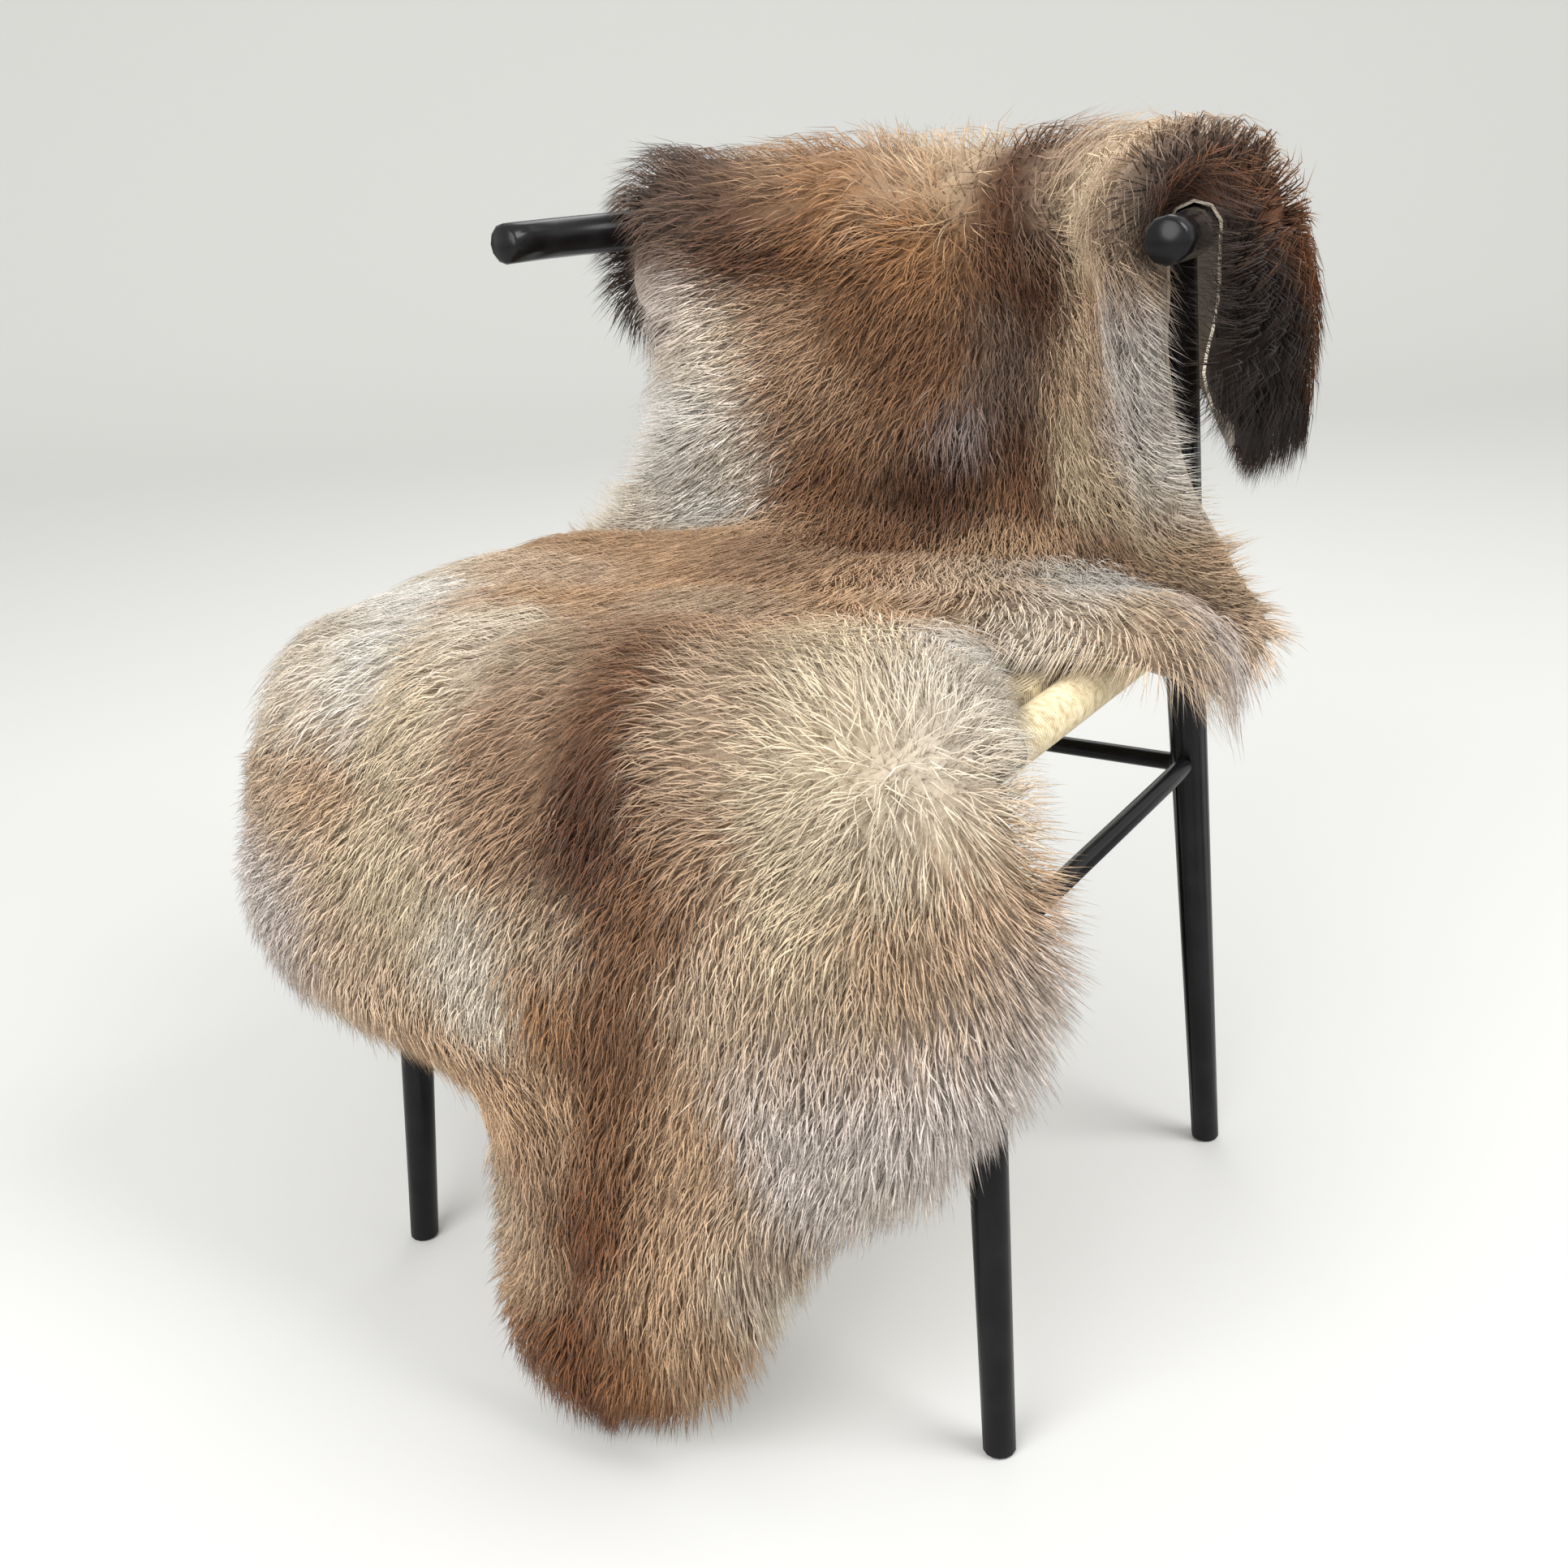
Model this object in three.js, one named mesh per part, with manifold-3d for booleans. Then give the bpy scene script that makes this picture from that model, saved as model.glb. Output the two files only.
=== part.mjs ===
// Sheepskin rug draped over a plain round-tube wooden chair.
// Millimetres, +Z up. The chair faces -Y and stands on z = 0.
// Inside this file x = 0 is the chair's middle and y = 0 is midway between its front and back feet.
// The whole group is then moved so that the origin is the middle of the underside of its box.

import * as THREE from 'three';
import { mergeVertices } from 'three/addons/utils/BufferGeometryUtils.js';
import Module from 'manifold-3d';

const wasm = await Module();
wasm.setup();

// Driving sizes of the chair
const FIT_GAP = 0.3;
const SEAT_TOP = 470;
const FRONT_FOOT_SPACING = 508.3;
const BACK_FOOT_SPACING = 442.3;
const FEET_DEPTH = 430.1;
const LEAN_HEIGHT = 445;
const FRONT_LEAN = { inward: 23.1, towards: 25.6 };
const BACK_LEAN = { inward: 12.3, towards: 37.5 };
const FOOT_RADIUS = 10.5;
const LEG_RADIUS = 15;
const LEG_SWELL_HEIGHT = 190;
const FRONT_LEG_TOP = 465;
const POST_TOP = { x: 205, y: 161.7, z: 720, radius: 13.5 };
const SEAT_RAIL = { z: 453, radius: 15 };
const WEAVE = { thickness: 10, fromRailAxis: 14.5 };
const SIDE_STRETCHER = { z: 337.8, radius: 7.5 };
const BACK_STRETCHER = { z: 335.5, radius: 7 };
const BACK_RAIL = { z: 736, radius: 15, halfWidth: 263.5, depth: 250, midY: 254.6, halfAngle: 86, arm: 21 };
const EDGE_ROUNDING = 2.5;

// Driving sizes of the sheepskin
const HIDE_CLEARANCE = 0.7;
const WOOL_DEPTH = 46;
const LOCK_REACH = 33;
const LOCK_FLOOR_CLEARANCE = 3;
const RIM_CREST = 9;

// Colours
const paint = (colour, roughness, metalness = 0) => (
  new THREE.MeshStandardMaterial({ color: colour, roughness, metalness }));
const blackLacquer = () => paint(0x111112, 0.38);
const paperCord = () => paint(0xd9c69c, 0.85);
const wool = () => paint(0xb99a78, 1);

const vec = (x, y, z) => new THREE.Vector3(x, y, z);
const rad = THREE.MathUtils.degToRad;

// Solids: three.js geometry to and from a boolean solid

function toSolid(geometry) {
  const bare = geometry.clone();
  bare.deleteAttribute('normal');
  bare.deleteAttribute('uv');
  const merged = mergeVertices(bare, 1e-4);
  return new wasm.Manifold(new wasm.Mesh({
    numProp: 3,
    vertProperties: new Float32Array(merged.attributes.position.array),
    triVerts: new Uint32Array(merged.index.array),
  }));
}

function toGeometry(solid) {
  const mesh = solid.getMesh();
  const geometry = new THREE.BufferGeometry();
  geometry.setAttribute('position', new THREE.BufferAttribute(mesh.vertProperties, 3));
  geometry.setIndex(new THREE.BufferAttribute(mesh.triVerts, 1));
  geometry.computeVertexNormals();
  return geometry;
}

const join = (pieces) => pieces.reduce((whole, piece) => whole.add(piece));
const cope = (solid, cutters) => cutters.reduce((left, cutter) => left.subtract(cutter), solid);

// A round rod between two points, its two ends slightly rounded. It tapers evenly, or swells from
// radiusFrom to radiusTo over its first swellRun and then keeps that radius
function rod(from, to, radiusFrom, radiusTo, sides = 14, swellRun = 0) {
  const axis = to.clone().sub(from);
  const length = axis.length();
  const profile = [
    new THREE.Vector2(0, 0),
    new THREE.Vector2(radiusFrom - EDGE_ROUNDING, 0),
    new THREE.Vector2(radiusFrom, EDGE_ROUNDING),
    ...(swellRun ? [new THREE.Vector2(radiusTo, swellRun)] : []),
    new THREE.Vector2(radiusTo, length - EDGE_ROUNDING),
    new THREE.Vector2(radiusTo - EDGE_ROUNDING, length),
    new THREE.Vector2(0, length),
  ];
  const geometry = new THREE.LatheGeometry(profile, sides);
  const turn = new THREE.Quaternion().setFromUnitVectors(vec(0, 1, 0), axis.normalize());
  geometry.applyQuaternion(turn);
  geometry.translate(from.x, from.y, from.z);
  return toSolid(geometry);
}

// Axis points of the legs. side is -1 on the left and 1 on the right

function legAxis(spacing, footY, lean, side, z) {
  const share = z / LEAN_HEIGHT;
  const x = side * (spacing / 2 - lean.inward * share);
  const y = footY - Math.sign(footY) * lean.towards * share;
  return vec(x, y, z);
}

const frontLegAxis = (side, z) => legAxis(FRONT_FOOT_SPACING, -FEET_DEPTH / 2, FRONT_LEAN, side, z);
const backLegAxis = (side, z) => legAxis(BACK_FOOT_SPACING, FEET_DEPTH / 2, BACK_LEAN, side, z);

// The straight part of a leg up to a height. It starts below the floor, where it is trimmed flat later
const BELOW_FLOOR = 20;

function taperedLeg(axis, side, top, grow) {
  const swell = LEG_SWELL_HEIGHT + BELOW_FLOOR;
  return rod(axis(side, -BELOW_FLOOR), axis(side, top), FOOT_RADIUS + grow, LEG_RADIUS + grow, 14, swell);
}

// A front leg, flat where it stands on the floor. grow widens it to cut its neighbours
function frontLeg(side, grow = 0) {
  const top = FRONT_LEG_TOP + (grow ? BELOW_FLOOR : 0);
  return taperedLeg(frontLegAxis, side, top, grow).trimByPlane([0, 0, 1], 0);
}

// A back leg that runs on above the seat, bent there, up to the back rail
function backLeg(side, grow = 0) {
  const overlap = 4;
  const lower = taperedLeg(backLegAxis, side, LEAN_HEIGHT + overlap, grow);
  const bend = backLegAxis(side, LEAN_HEIGHT);
  const top = vec(side * POST_TOP.x, POST_TOP.y, POST_TOP.z);
  const on = top.clone().sub(bend).normalize();
  const end = top.clone().addScaledVector(on, BACK_RAIL.z - POST_TOP.z);
  const upper = rod(bend.clone().addScaledVector(on, -overlap), end,
    LEG_RADIUS + grow, POST_TOP.radius + grow);
  return join([lower, upper]).trimByPlane([0, 0, 1], 0);
}

// The back rail is a round rod bent in plan to half an ellipse, with two short straight ends
function backRail(grow = 0) {
  const { halfWidth, depth } = BACK_RAIL;
  const centreY = BACK_RAIL.midY - depth;
  const bent = new THREE.Curve();
  bent.getPoint = (t, target = vec(0, 0, 0)) => {
    const angle = rad(BACK_RAIL.halfAngle) * (2 * t - 1);
    const x = halfWidth * Math.sin(angle);
    const y = centreY + depth * Math.cos(angle);
    return target.set(x, y, BACK_RAIL.z);
  };
  const section = new THREE.Shape();
  section.absarc(0, 0, BACK_RAIL.radius + grow - 0.05, 0, 2 * Math.PI, false);
  const arcSteps = 28;
  const arc = new THREE.ExtrudeGeometry(section, { steps: arcSteps, extrudePath: bent, curveSegments: 6 });
  const arms = [-1, 1].map((side) => {
    const start = bent.getPoint(side < 0 ? 0 : 1);
    const angle = rad(BACK_RAIL.halfAngle);
    const ahead = vec(side * halfWidth * Math.cos(angle), -depth * Math.sin(angle), 0).normalize();
    const from = start.clone().addScaledVector(ahead, -6);
    const end = start.clone().addScaledVector(ahead, BACK_RAIL.arm);
    return rod(from, end, BACK_RAIL.radius + grow, BACK_RAIL.radius + grow, 12);
  });
  return join([toSolid(arc), ...arms]);
}

// A cross rod between two legs, its ends shaped to the legs that it meets
function crossRod(from, to, radius, cutters) {
  return cope(rod(from, to, radius, radius, 12), cutters);
}

// The woven seat between the rails, flat on top
function wovenSeat() {
  const inset = WEAVE.fromRailAxis;
  const front = frontLegAxis(1, SEAT_RAIL.z);
  const back = backLegAxis(1, SEAT_RAIL.z);
  const outline = new THREE.Shape([
    new THREE.Vector2(-front.x + inset, front.y + inset),
    new THREE.Vector2(front.x - inset, front.y + inset),
    new THREE.Vector2(back.x - inset, back.y - inset),
    new THREE.Vector2(-back.x + inset, back.y - inset),
  ]);
  const geometry = new THREE.ExtrudeGeometry(outline, { depth: WEAVE.thickness, bevelEnabled: false });
  geometry.translate(0, 0, SEAT_TOP - WEAVE.thickness);
  return toSolid(geometry);
}

// Sheepskin, first table: the path of the hide's middle line in the plane x = 0.
// Each stretch has a run in mm and the turn in degrees that it makes over that run.
// Both paths start flat on the seat at its front edge.

const SEAT_FRONT = { y: -190, z: SEAT_TOP + HIDE_CLEARANCE };
const DOWN_THE_FRONT = [
  { stretch: 'over the front edge', run: 65, turn: 80 },
  { stretch: 'upper hang', run: 205, turn: -3 },
  { stretch: 'lower hang', run: 205, turn: 4 },
];
const UP_THE_BACK = [
  { stretch: 'flat on the seat', run: 283, turn: 0 },
  { stretch: 'crease', run: 120, turn: 70 },
  { stretch: 'against the back', run: 182, turn: 8 },
  { stretch: 'up to the rail', run: 26, turn: 12 },
  { stretch: 'over the rail', run: 54, turn: -180 },
  { stretch: 'down behind the rail', run: 95, turn: 0 },
];

// Where a path stands after a run of u from its start. way is -1 down the front, 1 up the back
function walk(stretches, way, u) {
  let { y, z } = SEAT_FRONT;
  let heading = 0;
  let left = u;
  stretches.forEach(({ run, turn }, i) => {
    const last = i === stretches.length - 1;
    const length = Math.max(0, last ? left : Math.min(left, run));
    const bend = rad(turn) / run;
    const start = rad(heading);
    const end = start + bend * length;
    const straight = Math.abs(bend) < 1e-9;
    const dy = straight ? length * Math.cos(start) : (Math.sin(end) - Math.sin(start)) / bend;
    const dz = straight ? length * Math.sin(start) : (Math.cos(start) - Math.cos(end)) / bend;
    y += way * dy;
    z += way * dz;
    heading = THREE.MathUtils.radToDeg(end);
    left -= length;
  });
  return { y, z };
}

const spine = (u) => (u < 0 ? walk(DOWN_THE_FRONT, -1, -u) : walk(UP_THE_BACK, 1, u));

// Sheepskin, second table: ribs across the middle line, from the front tip to the flap behind.
// at: run along the middle line. mid: how far the rib's middle lies right of x = 0.
// left, right: hide from middle to rim. flatL, flatR: the straight part of that.
// bendL, bendR: radius past it. droopL, droopR: most degrees that the bend makes.
// lean: where the bend heads, 90 back, 0 down and -90 forward.

const RIB_COLUMNS = ['at', 'mid', 'left', 'right', 'flatL', 'flatR', 'bendL', 'bendR', 'droopL', 'droopR', 'lean'];
const RIBS = [
  [-475, 28, 30, 14, 60, 60, 200, 200, 10, 10, 90],
  [-462, 28, 60, 48, 60, 60, 200, 200, 15, 15, 90],
  [-425, 28, 80, 84, 70, 70, 200, 200, 20, 25, 90],
  [-370, 25, 84, 116, 80, 80, 200, 200, 20, 30, 90],
  [-315, 22, 96, 158, 120, 120, 250, 200, 20, 40, 90],
  [-285, 20, 125, 198, 150, 150, 250, 200, 20, 40, 90],
  [-262, 18, 215, 226, 190, 180, 200, 150, 15, 40, 90],
  [-240, 15, 310, 244, 230, 190, 200, 150, 12, 40, 90],
  [-190, 10, 344, 276, 230, 200, 200, 150, 12, 40, 90],
  [-130, 5, 332, 290, 230, 215, 160, 120, 15, 40, 80],
  [-60, 0, 306, 276, 230, 224, 120, 90, 20, 40, 50],
  [0, 0, 300, 240, 230, 224, 120, 80, 20, 40, 10],
  [80, 0, 310, 195, 235, 224, 120, 60, 20, 30, 0],
  [120, 0, 318, 160, 238, 236, 120, 60, 18, 20, 0],
  [145, 0, 324, 155, 238, 238, 120, 60, 18, 40, 0],
  [170, 0, 326, 212, 238, 238, 120, 60, 18, 45, 0],
  [195, 0, 326, 266, 236, 234, 120, 60, 18, 45, 0],
  [240, 0, 320, 284, 230, 224, 120, 70, 14, 34, 0],
  [262, 0, 312, 292, 222, 218, 120, 80, 10, 25, -15],
  [283, 0, 304, 300, 206, 206, 130, 110, 8, 16, -40],
  [308, 0, 294, 306, 160, 160, 200, 200, 10, 12, -80],
  [333, 0, 282, 304, 130, 130, 220, 220, 18, 18, -95],
  [363, 0, 268, 300, 100, 100, 200, 200, 27, 27, -95],
  [393, 0, 256, 292, 80, 80, 220, 220, 35, 35, -92],
  [440, 0, 240, 282, 40, 40, 250, 250, 45, 47, -90],
  [490, 0, 230, 272, 12, 12, 268, 268, 52, 58, -90],
  [550, 0, 238, 274, 0, 0, 250, 250, 70, 73, -90],
  [611, 0, 252, 285, 0, 0, 233, 233, 73, 73, -90],
  [624, 0, 258, 300, 0, 0, 238, 238, 73, 73, -90],
  [638, 0, 264, 318, 0, 0, 250, 250, 73, 73, -90],
  [652, 0, 270, 342, 0, 0, 262, 262, 73, 76, -90],
  [665, 0, 276, 364, 0, 0, 267, 267, 73, 80, -90],
  [710, 0, 284, 398, 0, 25, 285, 243, 73, 90, -90],
  [740, 0, 270, 418, 0, 30, 290, 238, 73, 95, -90],
  [760, 0, 235, 405, 0, 30, 290, 236, 73, 95, -90],
  [785, 0, 225, 386, 0, 30, 290, 236, 73, 92, -90],
  [812, 0, 220, 380, 0, 30, 290, 236, 73, 90, -90],
].map((row) => Object.fromEntries(RIB_COLUMNS.map((name, i) => [name, row[i]])));

// Smooth value of one column at run u, with no overshoot between the rows
function ribValue(name, u) {
  const last = RIBS.length - 1;
  let i = RIBS.findIndex((row) => row.at > u) - 1;
  if (i === -2) i = last - 1;
  i = Math.max(0, i);
  const slope = (k) => (RIBS[k + 1][name] - RIBS[k][name]) / (RIBS[k + 1].at - RIBS[k].at);
  const tangent = (k) => {
    if (k === 0) return slope(0);
    if (k === last) return slope(last - 1);
    const before = slope(k - 1);
    const after = slope(k);
    return before * after <= 0 ? 0 : 2 * before * after / (before + after);
  };
  const [low, high] = [RIBS[i], RIBS[i + 1]];
  const step = high.at - low.at;
  const t = THREE.MathUtils.clamp((u - low.at) / step, 0, 1);
  return (1 + 2 * t) * (1 - t) ** 2 * low[name] + t * (1 - t) ** 2 * step * tangent(i)
    + t * t * (3 - 2 * t) * high[name] + t * t * (t - 1) * step * tangent(i + 1);
}

// The two hind shanks hang lower behind the rail than the hide between them
const TAIL_START = 665;
const TAIL_END = 760;
const SHANKS = [
  { at: 0.74, drop: 54, width: 0.2 },
  { at: -0.72, drop: 35, width: 0.24 },
];

function shankDrop(across) {
  return SHANKS.reduce((sum, s) => sum + s.drop * Math.exp(-(((across - s.at) / s.width) ** 2)), 0);
}

// Over the rail the ribs are stretched sideways, as the rail is wider than it is deep
const RAIL_STRETCH = { from: 490, to: 600, share: BACK_RAIL.halfWidth / BACK_RAIL.depth - 1 };

// A point of the hide's underside. across runs from -1 at the left rim to 1 at the right rim
function hidePoint(u, across) {
  const past = THREE.MathUtils.clamp((u - TAIL_START) / (TAIL_END - TAIL_START), 0, 1);
  const run = u + shankDrop(across) * past;
  const side = across < 0 ? 'L' : 'R';
  const reach = Math.abs(across) * ribValue(across < 0 ? 'left' : 'right', run);
  const flat = ribValue(`flat${side}`, run);
  const bend = ribValue(`bend${side}`, run);
  const most = rad(ribValue(`droop${side}`, run));
  const turned = THREE.MathUtils.clamp((reach - flat) / bend, 0, most);
  const beyond = Math.max(0, reach - flat - bend * most);
  const out = Math.min(reach, flat) + bend * Math.sin(turned) + beyond * Math.cos(most);
  const off = bend * (1 - Math.cos(turned)) + beyond * Math.sin(most);
  const lean = rad(ribValue('lean', run));
  const { y, z } = spine(run);
  const stretch = 1 + RAIL_STRETCH.share * THREE.MathUtils.smoothstep(run, RAIL_STRETCH.from, RAIL_STRETCH.to);
  const x = ribValue('mid', run) + Math.sign(across) * out * stretch;
  return vec(x, y + off * Math.sin(lean), z - off * Math.cos(lean));
}

// Outward direction of the wool at a point of the hide
function hideNormal(u, across) {
  const du = 3;
  const da = 0.02;
  const clampA = (a) => THREE.MathUtils.clamp(a, -1, 1);
  const along = hidePoint(u + du, across).sub(hidePoint(u - du, across));
  const sideways = hidePoint(u, clampA(across + da)).sub(hidePoint(u, clampA(across - da)));
  return sideways.cross(along).normalize();
}

// The cut-in on the right, where the belly edge leaves the seat's side rail bare
const CUT_IN = { centre: vec(205, -45, SEAT_TOP), size: vec(75, 60, 60) };

function nearCutIn(point) {
  const d = point.clone().sub(CUT_IN.centre).divide(CUT_IN.size);
  return Math.exp(-d.lengthSq());
}

// Depth of the wool: a lumpy slab, fuller over the rail and on the right hind shank,
// and pressed together at the two ends of the crease
const CREASE_PRESS = 0.5;
const CREASE_RUN = { at: 330, width: 62 };

function woolDepth(u, across, point) {
  const lumps = 3 * Math.sin(u / 31 + 2 * across) + 2.5 * Math.sin(across * 11 + u / 57)
    + 1.5 * Math.sin(u / 17 - across * 7);
  const overRail = THREE.MathUtils.smoothstep(u, 560, 640);
  const pressed = CREASE_PRESS * Math.exp(-(((u - CREASE_RUN.at) / CREASE_RUN.width) ** 2))
    * THREE.MathUtils.smoothstep(Math.abs(across), 0.4, 0.75);
  const fuller = overRail * (3 + (across > 0 ? 13 * across * across : 4 * across * across));
  return (WOOL_DEPTH + lumps + fuller) * (1 - 0.5 * nearCutIn(point)) * (1 - pressed);
}

// Rib positions: closer together where the hide bends sharply or its rim turns
const RIB_STEPS = [
  { to: -425, step: 12 },
  { to: -315, step: 22 },
  { to: -230, step: 12 },
  { to: -70, step: 22 },
  { to: 0, step: 11 },
  { to: 90, step: 18 },
  { to: 200, step: 11 },
  { to: 283, step: 21 },
  { to: 403, step: 14 },
  { to: 602, step: 22 },
  { to: 665, step: 9 },
  { to: TAIL_END, step: 19 },
];
const COLUMNS = 20;

function ribPositions() {
  const stops = [RIBS[0].at];
  RIB_STEPS.forEach(({ to, step }) => {
    const from = stops[stops.length - 1];
    const count = Math.max(1, Math.round((to - from) / step));
    for (let i = 1; i <= count; i += 1) stops.push(from + (to - from) * i / count);
  });
  return stops;
}

// The skin as one closed body: hide below, wool above, and a lock of wool on each step of its rim
function sheepskin() {
  const runs = ribPositions();
  const rows = runs.length;
  const acrosses = Array.from({ length: COLUMNS + 1 }, (_, j) => 2 * j / COLUMNS - 1);
  const hide = runs.map((u) => acrosses.map((a) => hidePoint(u, a)));
  const normal = runs.map((u) => acrosses.map((a) => hideNormal(u, a)));
  const points = [];
  const faces = [];
  const add = (p) => points.push(p.x, p.y, p.z) / 3 - 1;

  const rim = [];
  for (let j = 0; j <= COLUMNS; j += 1) rim.push([0, j]);
  for (let i = 1; i < rows; i += 1) rim.push([i, COLUMNS]);
  for (let j = COLUMNS - 1; j >= 0; j -= 1) rim.push([rows - 1, j]);
  for (let i = rows - 2; i > 0; i -= 1) rim.push([i, 0]);
  const onRim = (k) => rim[(k + rim.length) % rim.length];
  const rimPoint = (k) => hide[onRim(k)[0]][onRim(k)[1]];
  const outward = rim.map(([i, j], k) => (
    rimPoint(k + 1).clone().sub(rimPoint(k - 1)).cross(normal[i][j]).normalize()));

  const under = hide.map((row) => row.map(add));
  const over = hide.map((row, i) => row.map((p, j) => {
    const edge = i === 0 || j === 0 || i === rows - 1 || j === COLUMNS;
    const near = i === 1 || j === 1 || i === rows - 2 || j === COLUMNS - 1;
    const share = edge ? 0.5 : near ? 0.88 : 1;
    const top = p.clone().addScaledVector(normal[i][j], share * woolDepth(runs[i], acrosses[j], p));
    if (edge) {
      const k = rim.findIndex(([ri, rj]) => ri === i && rj === j);
      top.addScaledVector(outward[k], RIM_CREST * (1 - 0.8 * nearCutIn(p)));
    }
    return add(top);
  }));

  for (let i = 0; i < rows - 1; i += 1) {
    for (let j = 0; j < COLUMNS; j += 1) {
      const quad = (g) => [g[i][j], g[i][j + 1], g[i + 1][j + 1], g[i + 1][j]];
      const [a, b, c, d] = quad(over);
      faces.push(a, b, c, a, c, d);
      const [e, f, g, h] = quad(under);
      faces.push(e, g, f, e, h, g);
    }
  }

  rim.forEach(([i, j], k) => {
    const [ni, nj] = onRim(k + 1);
    const root = hide[i][j].clone().add(hide[ni][nj]).multiplyScalar(0.5);
    const up = normal[i][j].clone().add(normal[ni][nj]).normalize();
    const out = outward[k].clone().add(outward[(k + 1) % rim.length]).normalize();
    const uneven = 1 + 0.15 * Math.sin(k * 2.4);
    const reach = LOCK_REACH * uneven * (1 - 0.8 * nearCutIn(root));
    const tip = root.addScaledVector(out, reach).addScaledVector(up, 0.25 * WOOL_DEPTH);
    tip.z = Math.max(tip.z, LOCK_FLOOR_CLEARANCE);
    const t = add(tip);
    const [u0, u1, v0, v1] = [under[i][j], under[ni][nj], over[i][j], over[ni][nj]];
    faces.push(u0, u1, t, u1, v1, t, v1, v0, t, v0, u0, t);
  });

  const geometry = new THREE.BufferGeometry();
  geometry.setAttribute('position', new THREE.Float32BufferAttribute(points, 3));
  geometry.setIndex(faces);
  geometry.computeVertexNormals();
  return geometry;
}

// Assembly
const group = new THREE.Group();

function place(name, geometry, material) {
  const mesh = new THREE.Mesh(geometry, material);
  mesh.name = name;
  group.add(mesh);
}

const SIDES = [
  { side: -1, word: 'left' },
  { side: 1, word: 'right' },
];
const railCutter = backRail(FIT_GAP);
const legCutters = SIDES.flatMap(({ side }) => [frontLeg(side, FIT_GAP), backLeg(side, FIT_GAP)]);
const railZ = SEAT_RAIL.z;
const railEnds = {
  front: [frontLegAxis(-1, railZ), frontLegAxis(1, railZ)],
  back: [backLegAxis(-1, railZ), backLegAxis(1, railZ)],
};
const beyond = vec(30, 0, 0);
const cutRadius = SEAT_RAIL.radius + FIT_GAP;
const railCutters = Object.values(railEnds).map(([from, to]) => (
  rod(from.clone().sub(beyond), to.clone().add(beyond), cutRadius, cutRadius, 12)));
const sideCutters = [...legCutters, ...railCutters];

place('back_rail', toGeometry(backRail()), blackLacquer());
SIDES.forEach(({ side, word }) => {
  place(`front_leg_${word}`, toGeometry(frontLeg(side)), blackLacquer());
  place(`back_leg_${word}`, toGeometry(cope(backLeg(side), [railCutter])), blackLacquer());
  const sideRail = crossRod(frontLegAxis(side, railZ), backLegAxis(side, railZ), SEAT_RAIL.radius, sideCutters);
  place(`seat_rail_${word}`, toGeometry(sideRail), paperCord());
  const z = SIDE_STRETCHER.z;
  const brace = crossRod(frontLegAxis(side, z), backLegAxis(side, z), SIDE_STRETCHER.radius, legCutters);
  place(`side_stretcher_${word}`, toGeometry(brace), blackLacquer());
});
Object.entries(railEnds).forEach(([word, [from, to]]) => {
  place(`seat_rail_${word}`, toGeometry(crossRod(from, to, SEAT_RAIL.radius, legCutters)), paperCord());
});
const braceZ = BACK_STRETCHER.z;
const backBrace = crossRod(backLegAxis(-1, braceZ), backLegAxis(1, braceZ), BACK_STRETCHER.radius, legCutters);
place('back_stretcher', toGeometry(backBrace), blackLacquer());
place('woven_seat', toGeometry(wovenSeat()), paperCord());
place('sheepskin', sheepskin(), wool());

// Origin: the middle of the underside of the whole object's box
const box = new THREE.Box3().setFromObject(group);
const middle = box.getCenter(vec(0, 0, 0));
group.position.set(-middle.x, -middle.y, -box.min.z);

export default group;
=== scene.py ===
# %% [markdown]
# A sheepskin rug lies on a plain chair of round black rods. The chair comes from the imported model, with
# its rods turned smooth and its rails wound. The skin was one lumpy solid there, and here it becomes what
# it really is: a thin hide, a bed of dense underwool and many thousands of locks.

# %% Load the frame
import math

import bmesh
import bpy
import numpy as np
from mathutils import Matrix, Vector


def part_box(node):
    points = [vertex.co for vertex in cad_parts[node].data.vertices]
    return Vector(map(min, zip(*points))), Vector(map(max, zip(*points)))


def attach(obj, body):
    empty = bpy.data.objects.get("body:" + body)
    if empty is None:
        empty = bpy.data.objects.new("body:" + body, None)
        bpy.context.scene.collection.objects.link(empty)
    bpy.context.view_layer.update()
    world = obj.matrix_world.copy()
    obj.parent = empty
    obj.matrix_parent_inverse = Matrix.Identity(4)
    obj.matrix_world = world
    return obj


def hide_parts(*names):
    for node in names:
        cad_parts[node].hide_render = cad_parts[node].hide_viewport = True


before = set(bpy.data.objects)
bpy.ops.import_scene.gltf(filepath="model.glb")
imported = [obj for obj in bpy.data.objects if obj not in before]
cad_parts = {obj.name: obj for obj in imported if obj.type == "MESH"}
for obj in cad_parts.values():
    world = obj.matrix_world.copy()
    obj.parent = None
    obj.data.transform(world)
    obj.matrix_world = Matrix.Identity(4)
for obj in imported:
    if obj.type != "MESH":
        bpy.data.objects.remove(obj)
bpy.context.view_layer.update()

# %% [markdown]
# The skin and the chair were drawn with x = 0 on the chair's middle and y = 0 midway between its feet.
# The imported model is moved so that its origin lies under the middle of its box. The woven seat tells how
# far, because both of its ends have known places on the chair.

# %% Where the chair stands
WEAVE_BACK_END = 0.16238
seat_low, seat_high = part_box("woven_seat")
CHAIR = Vector(((seat_low[0] + seat_high[0]) / 2, seat_high[1] - WEAVE_BACK_END, 0))
SEAT_TOP = seat_high[2]
print("chair's middle at", tuple(round(v, 4) for v in CHAIR), "seat top", round(SEAT_TOP, 4))

# %% [markdown]
# A photograph is matched from one camera place only. It was worked out from the straight legs, the
# stretchers and the two rail ends.

# %% Camera
VIEW = {"turn": 34.664, "height": 19.887, "roll": -3.174, "distance": 1.408028, "lens": 43.827}
LOOK_AT = Vector((-0.018067, -0.024232, 0.352885))


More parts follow.
